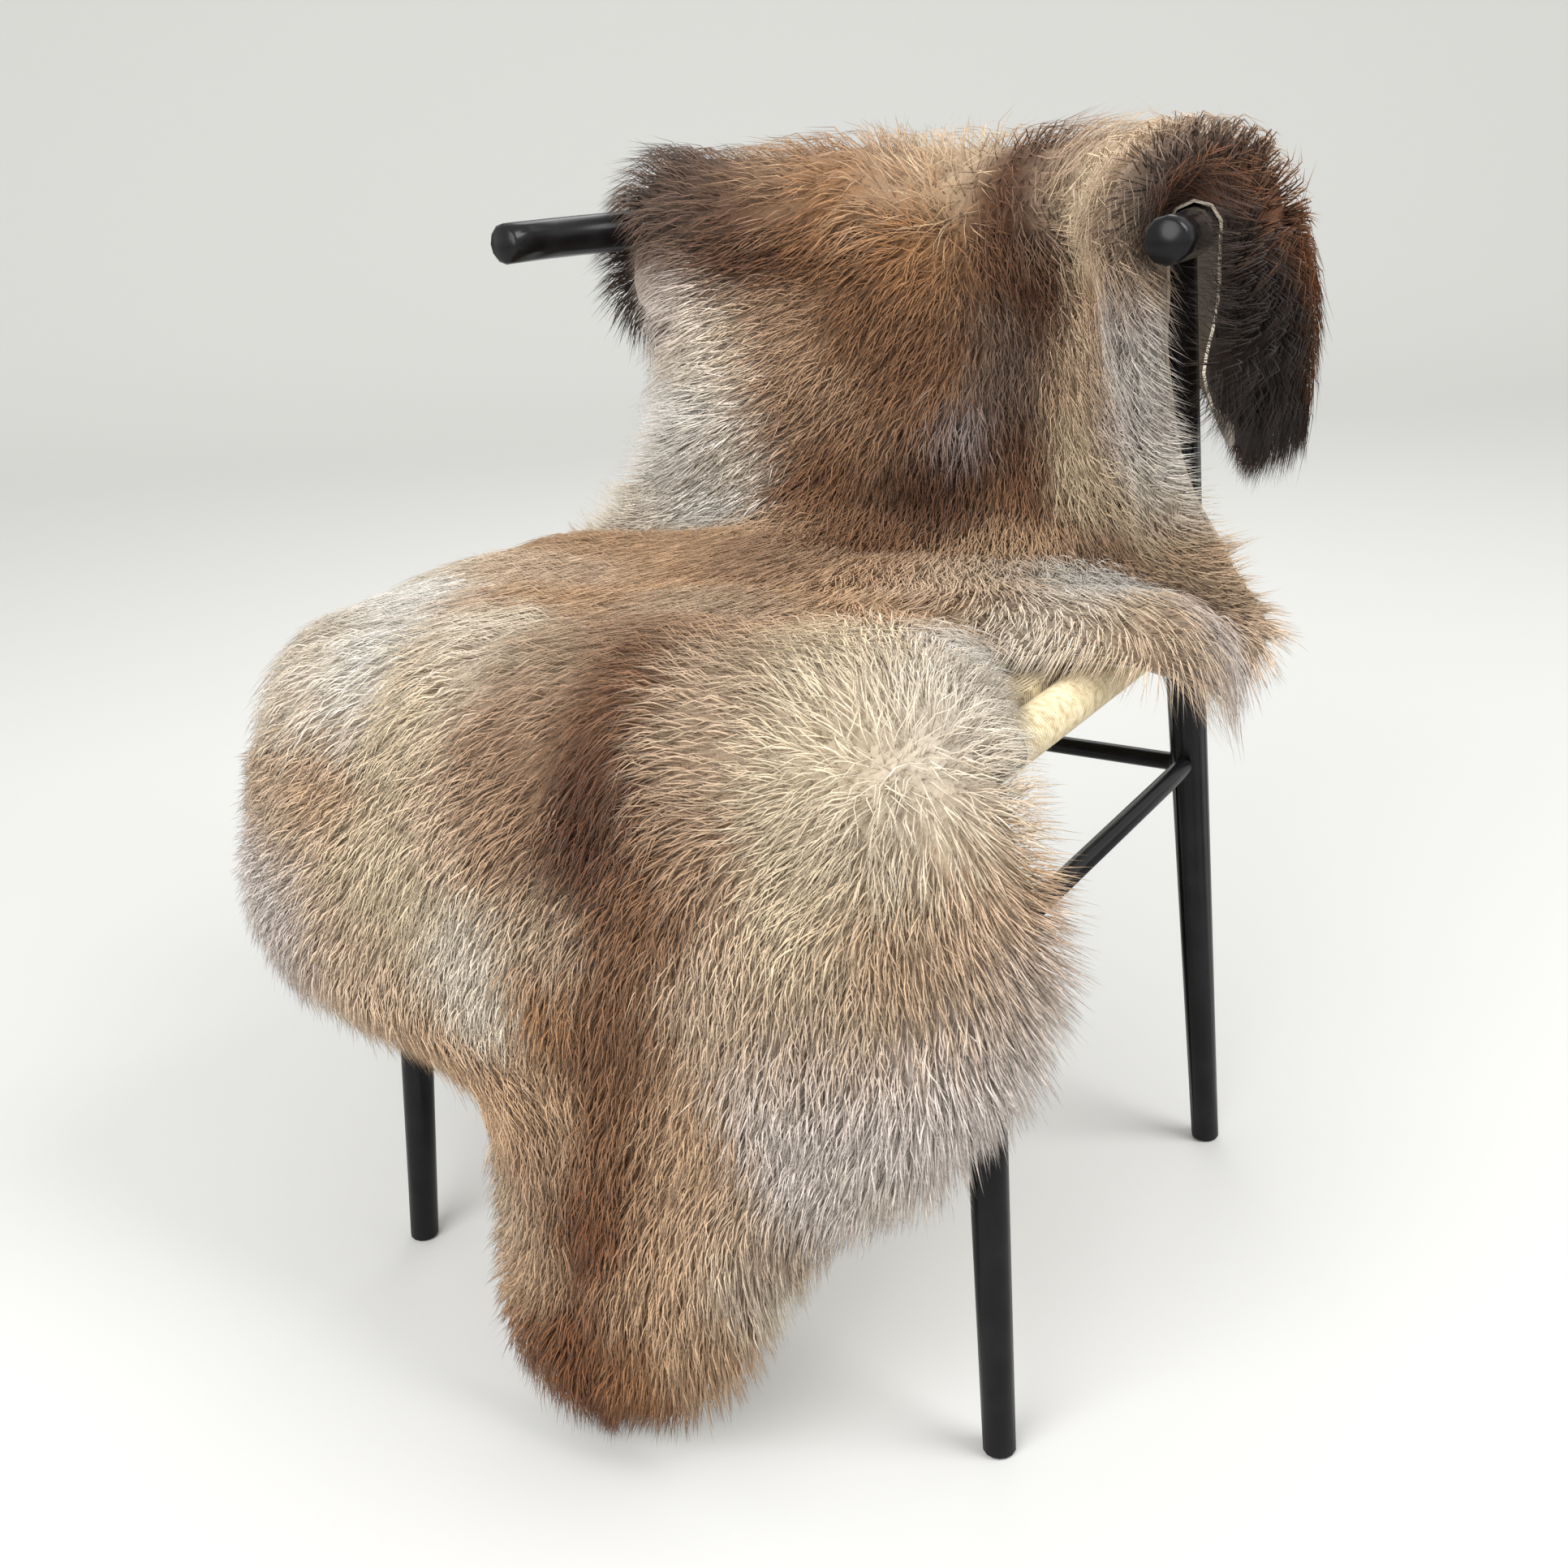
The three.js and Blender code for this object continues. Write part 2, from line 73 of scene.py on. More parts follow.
def aim_camera(view, target):
    turn, height, roll = (math.radians(view[k]) for k in ("turn", "height", "roll"))
    back = Vector((math.sin(turn) * math.cos(height), -math.cos(turn) * math.cos(height), math.sin(height)))
    level = (-back).cross(Vector((0, 0, 1))).normalized()
    upright = level.cross(-back)
    right = level * math.cos(roll) + upright * math.sin(roll)
    up = upright * math.cos(roll) - level * math.sin(roll)
    camera = bpy.data.objects.new("camera", bpy.data.cameras.new("camera"))
    camera.data.sensor_width = 36
    camera.data.lens = view["lens"]
    place = Matrix((right, up, back)).transposed().to_4x4()
    place.translation = target + back * view["distance"]
    camera.matrix_world = place
    bpy.context.scene.collection.objects.link(camera)
    bpy.context.scene.camera = camera
    return camera


camera = aim_camera(VIEW, CHAIR + LOOK_AT)
print("camera at", tuple(round(v, 3) for v in camera.matrix_world.translation))

# %% [markdown]
# The floor is a plain sweep of pale paper: flat under the chair, then curved up far behind it, so that
# the camera sees no horizon. Its material is the first, so the helpers for all materials are here.

# %% Floor
FLOOR = {"half_width": 9.0, "ahead": 7.0, "flat": 3.6, "curve": 2.2, "wall": 3.0, "steps": 72}
# Painted light: the floor is coloured darker near the camera and lighter far back, standing in for how the
# light falls off with distance
FLOOR_PAINTED_LIGHT = [(0.0, (0.47, 0.47, 0.465)), (0.45, (0.62, 0.62, 0.605)), (1.0, (0.68, 0.68, 0.66))]
TONE_REACH = (-1.6, 4.5)


def set_inputs(tree, node, inputs):
    # An input is either linked to another node's output or given a value
    for name, value in inputs.items():
        if isinstance(value, bpy.types.NodeSocket):
            tree.links.new(value, node.inputs[name])
        else:
            node.inputs[name].default_value = value


def add_node(tree, kind, inputs):
    node = tree.nodes.new(kind)
    set_inputs(tree, node, inputs)
    return node


def surface(name, look):
    # The look is a function that says what each input of the shader gets
    material = bpy.data.materials.new(name)
    material.use_nodes = True
    tree = material.node_tree
    set_inputs(tree, tree.nodes["Principled BSDF"], look(tree))
    return material


def object_place(tree):
    return tree.nodes.new("ShaderNodeTexCoord").outputs["Object"]


def ramp(tree, source, stops):
    node = add_node(tree, "ShaderNodeValToRGB", {"Fac": source})
    elements = node.color_ramp.elements
    while len(elements) < len(stops):
        elements.new(0.5)
    for element, (at, colour) in zip(elements, stops):
        element.position = at
        element.color = (*colour, 1)
    return node.outputs["Color"]


def along_axis(tree, axis, reach, values=(0, 1)):
    # A value that changes steadily with the object's own x, y or z
    parts = add_node(tree, "ShaderNodeSeparateXYZ", {"Vector": object_place(tree)})
    limits = dict(zip(("From Min", "From Max", "To Min", "To Max"), (*reach, *values)))
    change = add_node(tree, "ShaderNodeMapRange", {"Value": parts.outputs[axis], **limits})
    return change.outputs["Result"]


def mesh_from(name, bm):
    bmesh.ops.recalc_face_normals(bm, faces=bm.faces)
    mesh = bpy.data.meshes.new(name)
    bm.to_mesh(mesh)
    bm.free()
    return mesh


def show(name, mesh, material):
    mesh.materials.append(material)
    piece = bpy.data.objects.new(name, mesh)
    bpy.context.scene.collection.objects.link(piece)
    return piece


def floor_look(tree):
    # The ramp along the floor's run is painted light, not a change in the paper
    away = along_axis(tree, "Y", TONE_REACH)
    return {"Base Color": ramp(tree, away, FLOOR_PAINTED_LIGHT), "Roughness": 0.95, "Specular IOR Level": 0.1}


def paper_sweep():
    bm = bmesh.new()
    bmesh.ops.create_grid(bm, x_segments=2, y_segments=FLOOR["steps"], size=1)
    arc = FLOOR["curve"] * math.pi / 2
    total = FLOOR["ahead"] + FLOOR["flat"] + arc + FLOOR["wall"]
    for vert in bm.verts:
        run = (vert.co.y + 1) / 2 * total - FLOOR["ahead"]
        bent = min(max(run - FLOOR["flat"], 0), arc) / FLOOR["curve"]
        risen = max(0, run - FLOOR["flat"] - arc)
        away = min(run, FLOOR["flat"]) + FLOOR["curve"] * math.sin(bent)
        vert.co = (vert.co.x * FLOOR["half_width"], away, FLOOR["curve"] * (1 - math.cos(bent)) + risen)
    mesh = mesh_from("floor", bm)
    mesh.shade_smooth()
    return mesh


floor = show("floor", paper_sweep(), surface("pale_floor", floor_look))
floor.rotation_euler.z = math.radians(VIEW["turn"])
print("floor faces", len(floor.data.polygons))

# %% [markdown]
# A pale sky lights the chair evenly, so its shadows are wide and faint. Three round area lights give the
# wool its relief: a key from the right, a fill from the front and a weak one from behind.

# %% Light
SKY = {"colour": (1.0, 1.0, 0.99), "strength": 0.98}
LIGHTS = {
    "key": {"at": (1.7, 0.2, 2.4), "size": 1.4, "watts": 54},
    "fill": {"at": (0.1, -2.2, 1.6), "size": 2.0, "watts": 62},
    "rim": {"at": (-1.0, 1.9, 2.2), "size": 1.6, "watts": 14},
}
LIGHT_AIM = Vector((0, 0, 0.4))


def soft_light(name, at, size, watts):
    lamp = bpy.data.lights.new(name, "AREA")
    lamp.shape = "DISK"
    lamp.size = size
    lamp.energy = watts
    light = bpy.data.objects.new(name, lamp)
    light.location = CHAIR + Vector(at)
    aim = CHAIR + LIGHT_AIM - light.location
    light.rotation_euler = aim.to_track_quat("-Z", "Y").to_euler()
    bpy.context.scene.collection.objects.link(light)


for name, light in LIGHTS.items():
    soft_light(name, **light)
world = bpy.data.worlds.new("studio")
world.use_nodes = True
world.node_tree.nodes["Background"].inputs["Color"].default_value = (*SKY["colour"], 1)
world.node_tree.nodes["Background"].inputs["Strength"].default_value = SKY["strength"]
bpy.context.scene.world = world
bpy.context.scene.view_settings.view_transform = "Standard"
print("lights", ", ".join(LIGHTS))

# %% [markdown]
# The hide is stiff and heavy and bends along few lines, so a cloth simulation isn't needed. Its middle
# line is a path of straight and round stretches, each a length and a turn in degrees. Ribs across it say
# how wide the hide is, how far it lies flat and how its sides droop. All are the part's own millimetres.

# %% The hide's tables
MM = 0.001
SEAT_FRONT = {"y": -190, "z": 470.7}
DOWN_THE_FRONT = [(65, 80), (205, -3), (205, 4)]
UP_THE_BACK = [(283, 0), (120, 70), (182, 8), (26, 12), (54, -180), (95, 0)]
TIP, END = -475, 760
RIB_COLUMNS = "at mid reachL reachR flatL flatR bendL bendR droopL droopR lean".split()
RIBS = np.array([
    [-475, 28, 30, 14, 60, 60, 200, 200, 10, 10, 90],
    [-462, 28, 60, 48, 60, 60, 200, 200, 15, 15, 90],
    [-425, 28, 80, 84, 70, 70, 200, 200, 20, 25, 90],
    [-370, 25, 84, 116, 80, 80, 200, 200, 20, 30, 90],
    [-315, 22, 96, 158, 120, 120, 250, 200, 20, 40, 90],
    [-285, 20, 125, 198, 150, 150, 250, 200, 20, 40, 90],
    [-262, 18, 215, 226, 190, 180, 200, 150, 15, 40, 90],
    [-240, 15, 310, 244, 230, 190, 200, 150, 12, 40, 90],
    [-190, 10, 344, 276, 230, 200, 200, 150, 12, 40, 90],
    [-130, 5, 332, 290, 230, 215, 160, 120, 15, 40, 80],
    [-60, 0, 306, 276, 230, 224, 120, 90, 20, 40, 50],
    [0, 0, 300, 240, 230, 224, 120, 80, 20, 40, 10],
    [80, 0, 310, 195, 235, 224, 120, 60, 20, 30, 0],
    [120, 0, 318, 160, 238, 236, 120, 60, 18, 20, 0],
    [145, 0, 324, 155, 238, 238, 120, 60, 18, 40, 0],
    [170, 0, 326, 212, 238, 238, 120, 60, 18, 45, 0],
    [195, 0, 326, 266, 236, 234, 120, 60, 18, 45, 0],
    [240, 0, 320, 284, 230, 224, 120, 70, 14, 34, 0],
    [262, 0, 312, 292, 222, 218, 120, 80, 10, 25, -15],
    [283, 0, 304, 300, 206, 206, 130, 110, 8, 16, -40],
    [308, 0, 294, 306, 160, 160, 200, 200, 10, 12, -80],
    [333, 0, 282, 304, 130, 130, 220, 220, 18, 18, -95],
    [363, 0, 268, 300, 100, 100, 200, 200, 27, 27, -95],
    [393, 0, 256, 292, 80, 80, 220, 220, 35, 35, -92],
    [440, 0, 240, 282, 40, 40, 250, 250, 45, 47, -90],
    [490, 0, 230, 272, 12, 12, 268, 268, 52, 58, -90],
    [550, 0, 238, 274, 0, 0, 250, 250, 70, 73, -90],
    [611, 0, 252, 285, 0, 0, 233, 233, 73, 73, -90],
    [624, 0, 258, 300, 0, 0, 238, 238, 73, 73, -90],
    [638, 0, 264, 318, 0, 0, 250, 250, 73, 73, -90],
    [652, 0, 270, 342, 0, 0, 262, 262, 73, 76, -90],
    [665, 0, 276, 364, 0, 0, 267, 267, 73, 80, -90],
    [710, 0, 284, 398, 0, 25, 285, 243, 73, 90, -90],
    [740, 0, 270, 418, 0, 30, 290, 238, 73, 95, -90],
    [760, 0, 235, 405, 0, 30, 290, 236, 73, 95, -90],
    [785, 0, 225, 386, 0, 30, 290, 236, 73, 92, -90],
    [812, 0, 220, 380, 0, 30, 290, 236, 73, 90, -90],
], float)
TAIL_START, TAIL_END = 665, 760
RAIL_STRETCH = {"from": 490, "to": 600, "share": 0.054}
SHANKS = [{"at": 0.74, "drop": 54, "width": 0.2}, {"at": -0.72, "drop": 35, "width": 0.24}]
print(len(RIBS), "ribs on", len(DOWN_THE_FRONT) + len(UP_THE_BACK), "stretches")

# %% [markdown]
# A place on the hide is its run along the middle line from the seat's front edge, and its share across,
# from -1 at the left rim to 1 at the right one. The ribs are blended smoothly into each other. At the
# back end the two shanks hang lower, so the skin runs on there.

# %% From the tables to a surface
def walk(stretches, way, run):
    y = np.full_like(run, SEAT_FRONT["y"])
    z = np.full_like(run, SEAT_FRONT["z"])
    heading = np.zeros_like(run)
    left = run.copy()
    for i, (length, turn) in enumerate(stretches):
        last = i == len(stretches) - 1
        step = np.maximum(0, left if last else np.minimum(left, length))
        bend = math.radians(turn) / length
        after = heading + bend * step
        if abs(bend) < 1e-9:
            y += way * step * np.cos(heading)
            z += way * step * np.sin(heading)
        else:
            y += way * (np.sin(after) - np.sin(heading)) / bend
            z += way * (np.cos(heading) - np.cos(after)) / bend
        heading = after
        left = left - length
    return y, z


def spine(u):
    down_y, down_z = walk(DOWN_THE_FRONT, -1, np.maximum(-u, 0))
    up_y, up_z = walk(UP_THE_BACK, 1, np.maximum(u, 0))
    return np.where(u < 0, down_y, up_y), np.where(u < 0, down_z, up_z)


def rib_value(name, u):
    at = RIBS[:, 0]
    value = RIBS[:, RIB_COLUMNS.index(name)]
    slope = np.diff(value) / np.diff(at)
    before, after = slope[:-1], slope[1:]
    total = np.where(before + after == 0, 1, before + after)
    inner = np.where(before * after <= 0, 0, 2 * before * after / total)
    tangent = np.concatenate([slope[:1], inner, slope[-1:]])
    i = np.clip(np.searchsorted(at, u, side="right") - 1, 0, len(at) - 2)
    step = at[i + 1] - at[i]
    t = np.clip((u - at[i]) / step, 0, 1)
    return ((1 + 2 * t) * (1 - t) ** 2 * value[i] + t * (1 - t) ** 2 * step * tangent[i]
            + t * t * (3 - 2 * t) * value[i + 1] + t * t * (t - 1) * step * tangent[i + 1])


def side_value(name, u, across):
    return np.where(across < 0, rib_value(name + "L", u), rib_value(name + "R", u))


def smooth_step(value, low, high):
    t = np.clip((value - low) / (high - low), 0, 1)
    return t * t * (3 - 2 * t)


def hide_point(u, across):
    u = np.asarray(u, float)
    across = np.asarray(across, float)
    past = np.clip((u - TAIL_START) / (TAIL_END - TAIL_START), 0, 1)
    drop = sum(s["drop"] * np.exp(-(((across - s["at"]) / s["width"]) ** 2)) for s in SHANKS)
    run = u + drop * past
    reach = np.abs(across) * side_value("reach", run, across)
    flat = side_value("flat", run, across)
    bend = side_value("bend", run, across)
    most = np.radians(side_value("droop", run, across))
    turned = np.clip((reach - flat) / bend, 0, most)
    beyond = np.maximum(0, reach - flat - bend * most)
    out = np.minimum(reach, flat) + bend * np.sin(turned) + beyond * np.cos(most)
    off = bend * (1 - np.cos(turned)) + beyond * np.sin(most)
    lean = np.radians(rib_value("lean", run))
    y, z = spine(run)
    over = smooth_step(run, RAIL_STRETCH["from"], RAIL_STRETCH["to"])
    x = rib_value("mid", run) + np.sign(across) * out * (1 + RAIL_STRETCH["share"] * over)
    return np.stack([x, y + off * np.sin(lean), z - off * np.cos(lean)], -1)


over_rail = hide_point(np.array([600.0]), np.array([0.0]))[0]
print("middle of the hide over the rail", over_rail.round(1))

# %% [markdown]
# Everything that grows on the hide needs three directions at its root, and they come from small steps on
# the surface. A fine grid over all of it gives the skin's area.

# %% Directions and area
AXIS_STEP = {"run": 3, "across": 0.02}
GRID_STEPS = {"run": 240, "across": 121}


def unit(vectors):
    return vectors / np.maximum(np.linalg.norm(vectors, axis=-1, keepdims=True), 1e-9)


def hide_axes(u, across):
    # Along the middle line, towards the right rim, and out through the wool
    run, share = AXIS_STEP["run"], AXIS_STEP["across"]
    along = unit(hide_point(u + run, across) - hide_point(u - run, across))
    right = hide_point(u, np.minimum(across + share, 1)) - hide_point(u, np.maximum(across - share, -1))
    out = unit(np.cross(right, along))
    return along, unit(np.cross(along, out)), out


def in_scene(points):
    return points * MM + np.array(CHAIR)


grid_runs = np.linspace(TIP, END, GRID_STEPS["run"])
grid_shares = np.linspace(-1, 1, GRID_STEPS["across"])
grid_u, grid_a = np.meshgrid(grid_runs, grid_shares, indexing="ij")
grid_points = hide_point(grid_u, grid_a)
rising = grid_points[1:, 1:] - grid_points[:-1, :-1]
falling = grid_points[1:, :-1] - grid_points[:-1, 1:]
cell_area = np.linalg.norm(np.cross(rising, falling), axis=-1) / 2

# %% [markdown]
# Where it shows from behind and below, the skin is pale and matt like suede. Its tone is a soft blotch,
# because tanning never takes evenly, and its nap is a very fine bump.

# %% Suede
SUEDE = {"pale": (0.56, 0.49, 0.40), "shade": (0.42, 0.35, 0.27)}


def noise(tree, scale, detail, stretch=(1, 1, 1)):
    place = add_node(tree, "ShaderNodeMapping", {"Vector": object_place(tree), "Scale": stretch})
    inputs = {"Vector": place.outputs["Vector"], "Scale": scale, "Detail": detail}
    return add_node(tree, "ShaderNodeTexNoise", inputs).outputs["Fac"]


def bump(tree, height, strength, distance):
    inputs = {"Height": height, "Strength": strength, "Distance": distance}
    return add_node(tree, "ShaderNodeBump", inputs).outputs["Normal"]


def suede_look(tree):
    blotch = noise(tree, scale=14, detail=5)
    nap = noise(tree, scale=900, detail=3)
    return {
        "Base Color": ramp(tree, blotch, [(0.35, SUEDE["shade"]), (0.65, SUEDE["pale"])]),
        "Roughness": 0.9, "Sheen Weight": 0.25, "Normal": bump(tree, nap, strength=0.35, distance=0.0006),
    }


suede = surface("suede", suede_look)
print("material", suede.name)

# %% [markdown]
# The hide itself is the tanned skin, about 2 mm thick. A grid laid on the shape gives its middle, and
# Solidify gives its thickness.

# %% Hide
HIDE_THICKNESS = 2.0
HIDE_CELLS = (110, 44)


def add_piece(name, mesh, material):
    piece = show(name, mesh, material)
    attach(piece, "root")
    return piece


def grid_values(verts, layers):
    return np.array([[v[layer] for layer in layers] for v in verts]).T


def move_onto(verts, layers, height):
    u, across = grid_values(verts, layers)
    out = hide_axes(u, across)[2]
    places = in_scene(hide_point(u, across) + out * height(u, across)[:, None])
    for vert, place in zip(verts, places):
        vert.co = place


def laid_grid(cells, height):
    # A flat grid whose vertices remember their run and their share across, moved onto the shape
    rows, columns = cells
    bm = bmesh.new()
    bmesh.ops.create_grid(bm, x_segments=columns, y_segments=rows, size=1)
    layers = [bm.verts.layers.float.new(name) for name in ("run", "across")]
    for vert in bm.verts:
        vert[layers[0]] = TIP + (vert.co.y + 1) / 2 * (END - TIP)
        vert[layers[1]] = min(1, max(-1, vert.co.x))
    move_onto(bm.verts[:], layers, height)
    return bm, layers


hide_grid = laid_grid(HIDE_CELLS, lambda u, across: np.zeros_like(u))[0]
hide = add_piece("hide", mesh_from("hide", hide_grid), suede)
thickness = hide.modifiers.new("thickness", "SOLIDIFY")
thickness.thickness = HIDE_THICKNESS * MM
thickness.offset = 1
print("hide faces", len(hide.data.polygons))

# %% [markdown]
# The markings are charted. Each row says where a patch of colour lies on the hide, as its run
# along the middle line and its distance from that line, how wide it is and what a fleece grader would
# call it. A place takes the mean of the patches near it, so the colours melt into each other as dyed or
# grown wool does.

# %% Markings
# Painted shade: the whites of the patches on the pale star near the seat's front corner are painted darker
# than the wool there, because the key light falls strongest on it
FLEECE = {
    "white": (240, 235, 226), "cream": (236, 223, 203), "wheat": (226, 205, 174),
    "tan": (200, 166, 132), "fawn": (214, 189, 162), "lilac": (222, 210, 202), "ochre": (176, 127, 82),
    "brown": (136, 97, 68), "russet": (124, 77, 45), "umber": (92, 57, 37), "smoke": (116, 95, 82),
    "silver": (148, 135, 130), "bark": (44, 34, 32), "soot": (24, 19, 20), "shaded_white": (221, 211, 195),
    "shaded_cream": (219, 202, 174), "dun": (192, 168, 142), "camel": (172, 140, 112),
}
# Painted light: some white and lilac patches on the back, in the crease and at both sides, are lighter or
# wider than the wool there, where little light reaches
PATCHES = [
    [-40, 230, 50, "shaded_white"], [-10, 220, 40, "shaded_white"], [-30, 185, 45, "shaded_cream"], [-30, 155, 45, "shaded_cream"],
    [-62, 225, 45, "shaded_cream"], [-60, 170, 50, "shaded_cream"], [-45, -235, 40, "cream"], [-25, -205, 40, "white"],
    [-80, -225, 36, "tan"], [55, -240, 50, "white"], [-5, -115, 42, "cream"], [-180, -285, 50, "lilac"],
    [-125, -260, 40, "fawn"], [-140, -160, 50, "wheat"], [-195, -205, 45, "fawn"], [-50, -145, 40, "wheat"],
    [-50, -60, 42, "camel"], [-85, -62, 38, "camel"], [-88, -108, 36, "fawn"], [-55, 15, 38, "umber"],
    [-90, 5, 40, "umber"], [-30, 15, 36, "brown"], [-10, -60, 40, "dun"], [30, -5, 40, "camel"],
    [-15, 80, 40, "dun"], [-45, 110, 45, "dun"], [-85, 95, 42, "camel"], [-120, 50, 42, "brown"],
    [-105, 165, 50, "wheat"], [-160, 115, 42, "fawn"], [-180, 170, 50, "dun"], [-220, 170, 50, "lilac"],
    [-235, 210, 45, "lilac"], [-105, 225, 45, "tan"], [-70, 270, 45, "tan"], [-130, 255, 45, "dun"],
    [-130, 290, 45, "lilac"], [-180, 275, 45, "lilac"], [-220, 245, 45, "lilac"], [-165, -30, 36, "dun"],
    [-185, -95, 45, "cream"], [-195, 15, 40, "brown"], [-195, -32, 28, "ochre"], [-240, 10, 34, "brown"],
    [-285, 15, 34, "brown"], [-335, 5, 38, "russet"], [-270, -50, 38, "tan"], [-305, -45, 32, "camel"],
    [-355, -75, 38, "dun"], [-380, -50, 32, "tan"], [-285, 85, 42, "tan"], [-310, 125, 45, "dun"],
    [-355, 65, 40, "tan"], [-390, 80, 42, "tan"], [-425, -15, 42, "russet"], [-430, 32, 30, "ochre"],
    [-450, 20, 42, "russet"], [-465, -55, 36, "brown"], [-355, 125, 42, "cream"], [-280, 170, 46, "lilac"],
    [-270, 195, 34, "cream"], [-290, 190, 38, "lilac"], [130, -280, 45, "cream"], [145, -190, 55, "fawn"],
    [235, -180, 55, "tan"], [95, -5, 45, "dun"], [240, -30, 55, "camel"], [230, 25, 45, "tan"],
    [45, 130, 45, "wheat"], [240, 105, 50, "fawn"], [270, 170, 52, "white"], [165, 200, 45, "cream"],
    [310, 240, 36, "camel"], [185, 250, 45, "fawn"], [255, 285, 45, "lilac"], [300, 300, 36, "fawn"],
    [20, 210, 30, "shaded_white"], [95, 170, 40, "white"], [380, -260, 42, "cream"], [415, -195, 60, "white"],
    [465, -225, 50, "white"], [550, -240, 42, "lilac"], [520, -190, 42, "cream"], [595, -155, 50, "umber"],
    [608, -188, 34, "umber"], [620, -200, 44, "smoke"], [535, -150, 38, "camel"], [465, -110, 38, "camel"],
    [430, -165, 38, "cream"], [615, -85, 42, "ochre"], [600, -105, 26, "brown"], [630, -60, 38, "dun"],
    [560, -60, 45, "brown"], [595, -25, 42, "ochre"], [620, 70, 52, "umber"], [592, 34, 30, "brown"],
    [575, 90, 45, "umber"], [520, 70, 42, "smoke"], [505, -5, 45, "brown"], [485, 75, 34, "smoke"],
    [450, 78, 26, "umber"], [455, 35, 26, "silver"], [415, -85, 45, "brown"], [405, 15, 45, "umber"],
    [435, 95, 42, "brown"], [340, -25, 45, "brown"], [445, 155, 38, "wheat"], [490, 235, 45, "lilac"],
    [425, 240, 45, "wheat"], [535, 190, 42, "fawn"], [450, 265, 46, "white"], [520, 262, 38, "white"],
    [400, 262, 34, "tan"], [560, 245, 34, "lilac"], [380, 175, 38, "camel"], [370, 275, 42, "dun"],
    [615, 160, 40, "wheat"], [635, 110, 40, "fawn"], [575, 190, 36, "tan"], [612, 225, 32, "fawn"],
    [640, -150, 40, "tan"], [645, -10, 45, "wheat"], [640, -235, 34, "bark"], [615, -250, 28, "smoke"],
    [690, -250, 45, "soot"], [740, -235, 50, "soot"], [600, 262, 22, "fawn"], [632, 268, 28, "smoke"],
    [618, 288, 22, "soot"], [628, 298, 30, "bark"], [648, 312, 28, "umber"], [650, 240, 28, "fawn"],
    [672, 262, 26, "ochre"], [705, 272, 26, "ochre"], [738, 276, 26, "russet"], [668, 320, 30, "russet"],
    [668, 352, 26, "bark"], [695, 312, 30, "russet"], [700, 352, 34, "soot"], [700, 388, 36, "soot"],
    [735, 300, 30, "russet"], [735, 345, 36, "soot"], [740, 400, 45, "soot"], [785, 300, 45, "bark"],
    [780, 370, 45, "soot"], [810, 330, 45, "bark"], [680, 200, 45, "brown"], [690, 100, 55, "tan"],
    [690, 0, 55, "ochre"], [690, -110, 55, "tan"], [740, 160, 45, "umber"], [745, 40, 45, "brown"],
    [745, -90, 45, "umber"], [790, 230, 50, "bark"], [790, -200, 60, "soot"],
]


def linear(rgb):
    c = np.array(rgb, float) / 255
    return np.where(c <= 0.04045, c / 12.92, ((c + 0.055) / 1.055) ** 2.4)


PATCH_AT = np.array([row[:2] for row in PATCHES], float)
PATCH_WIDTH = np.array([row[2] for row in PATCHES], float)
PATCH_COLOUR = np.array([linear(FLEECE[row[3]]) for row in PATCHES])
GROUND_SHARE = 0.03
PATCH_EDGE = 2.1


def on_skin(u, across):
    # A place's run and its distance from the middle line, in millimetres
    return np.stack([u, across * side_value("reach", u, across)], -1)


def wool_colour(u, across):
    at = on_skin(u, across)
    total = np.full((len(u), 1), GROUND_SHARE)
    colour = total * linear(FLEECE["tan"])
    for centre, width, shade in zip(PATCH_AT, PATCH_WIDTH, PATCH_COLOUR):
        near = np.exp(-PATCH_EDGE * (((at - centre) / width) ** 2).sum(-1))[:, None]
        total = total + near
        colour = colour + near * shade
    return colour / total


print(len(PATCHES), "patches in", len(FLEECE), "colours")

# %% [markdown]
# Wool doesn't stand straight up. It is combed by use and by its own weight, and it turns away from whorls
# such as the pale star near the seat's front corner. The table gives the heading of the tips at places on
# the hide, in degrees from straight towards the front tip, to the right. Where rows near each other
# disagree, the wool is loose, and it stands up more.

# %% Lie of the wool
LIE = np.array([
    [-45, -235, -40], [55, -235, -35], [-180, -285, -50], [-160, -145, -20], [-50, -60, -50],
    [-60, 15, -25], [-10, -55, -45], [-5, 55, -95], [-40, 105, -95], [-80, 175, -55],
    [-70, 235, -10], [-45, 270, 30], [-20, 250, 90], [-10, 205, -175], [-5, 150, -140],
    [-160, 115, 0], [-220, 170, 15], [-130, 255, 20], [-130, 290, 35], [-200, 270, 40],
    [-240, -10, -10], [-340, 10, 0], [-415, -60, -30], [-395, 80, 20], [-475, 0, 0],
    [-350, 130, 45], [165, -205, -50], [130, -280, -70], [220, -90, -25], [110, 20, -40],
    [175, 75, 45], [175, 200, 85], [300, 300, 70], [240, 250, 90], [300, 0, 5],
    [515, -230, -85], [410, -195, -45], [595, -155, -80], [625, -200, -100], [615, -85, -60],
    [525, -40, -30], [590, 75, 35], [470, 80, 15], [395, 20, 5], [590, 200, 50],
    [505, 250, 60], [415, 285, 65], [640, -65, -150], [640, 110, 150], [660, 280, 120],
    [700, 330, 150], [740, 250, 175], [740, 0, 180], [740, -230, -170], [690, -100, -170],
    [690, 100, 170], [655, -240, -130],
], float)
LIE_REACH = 55
LIE_CORE = 0.05
LIE_POWER = 1.6


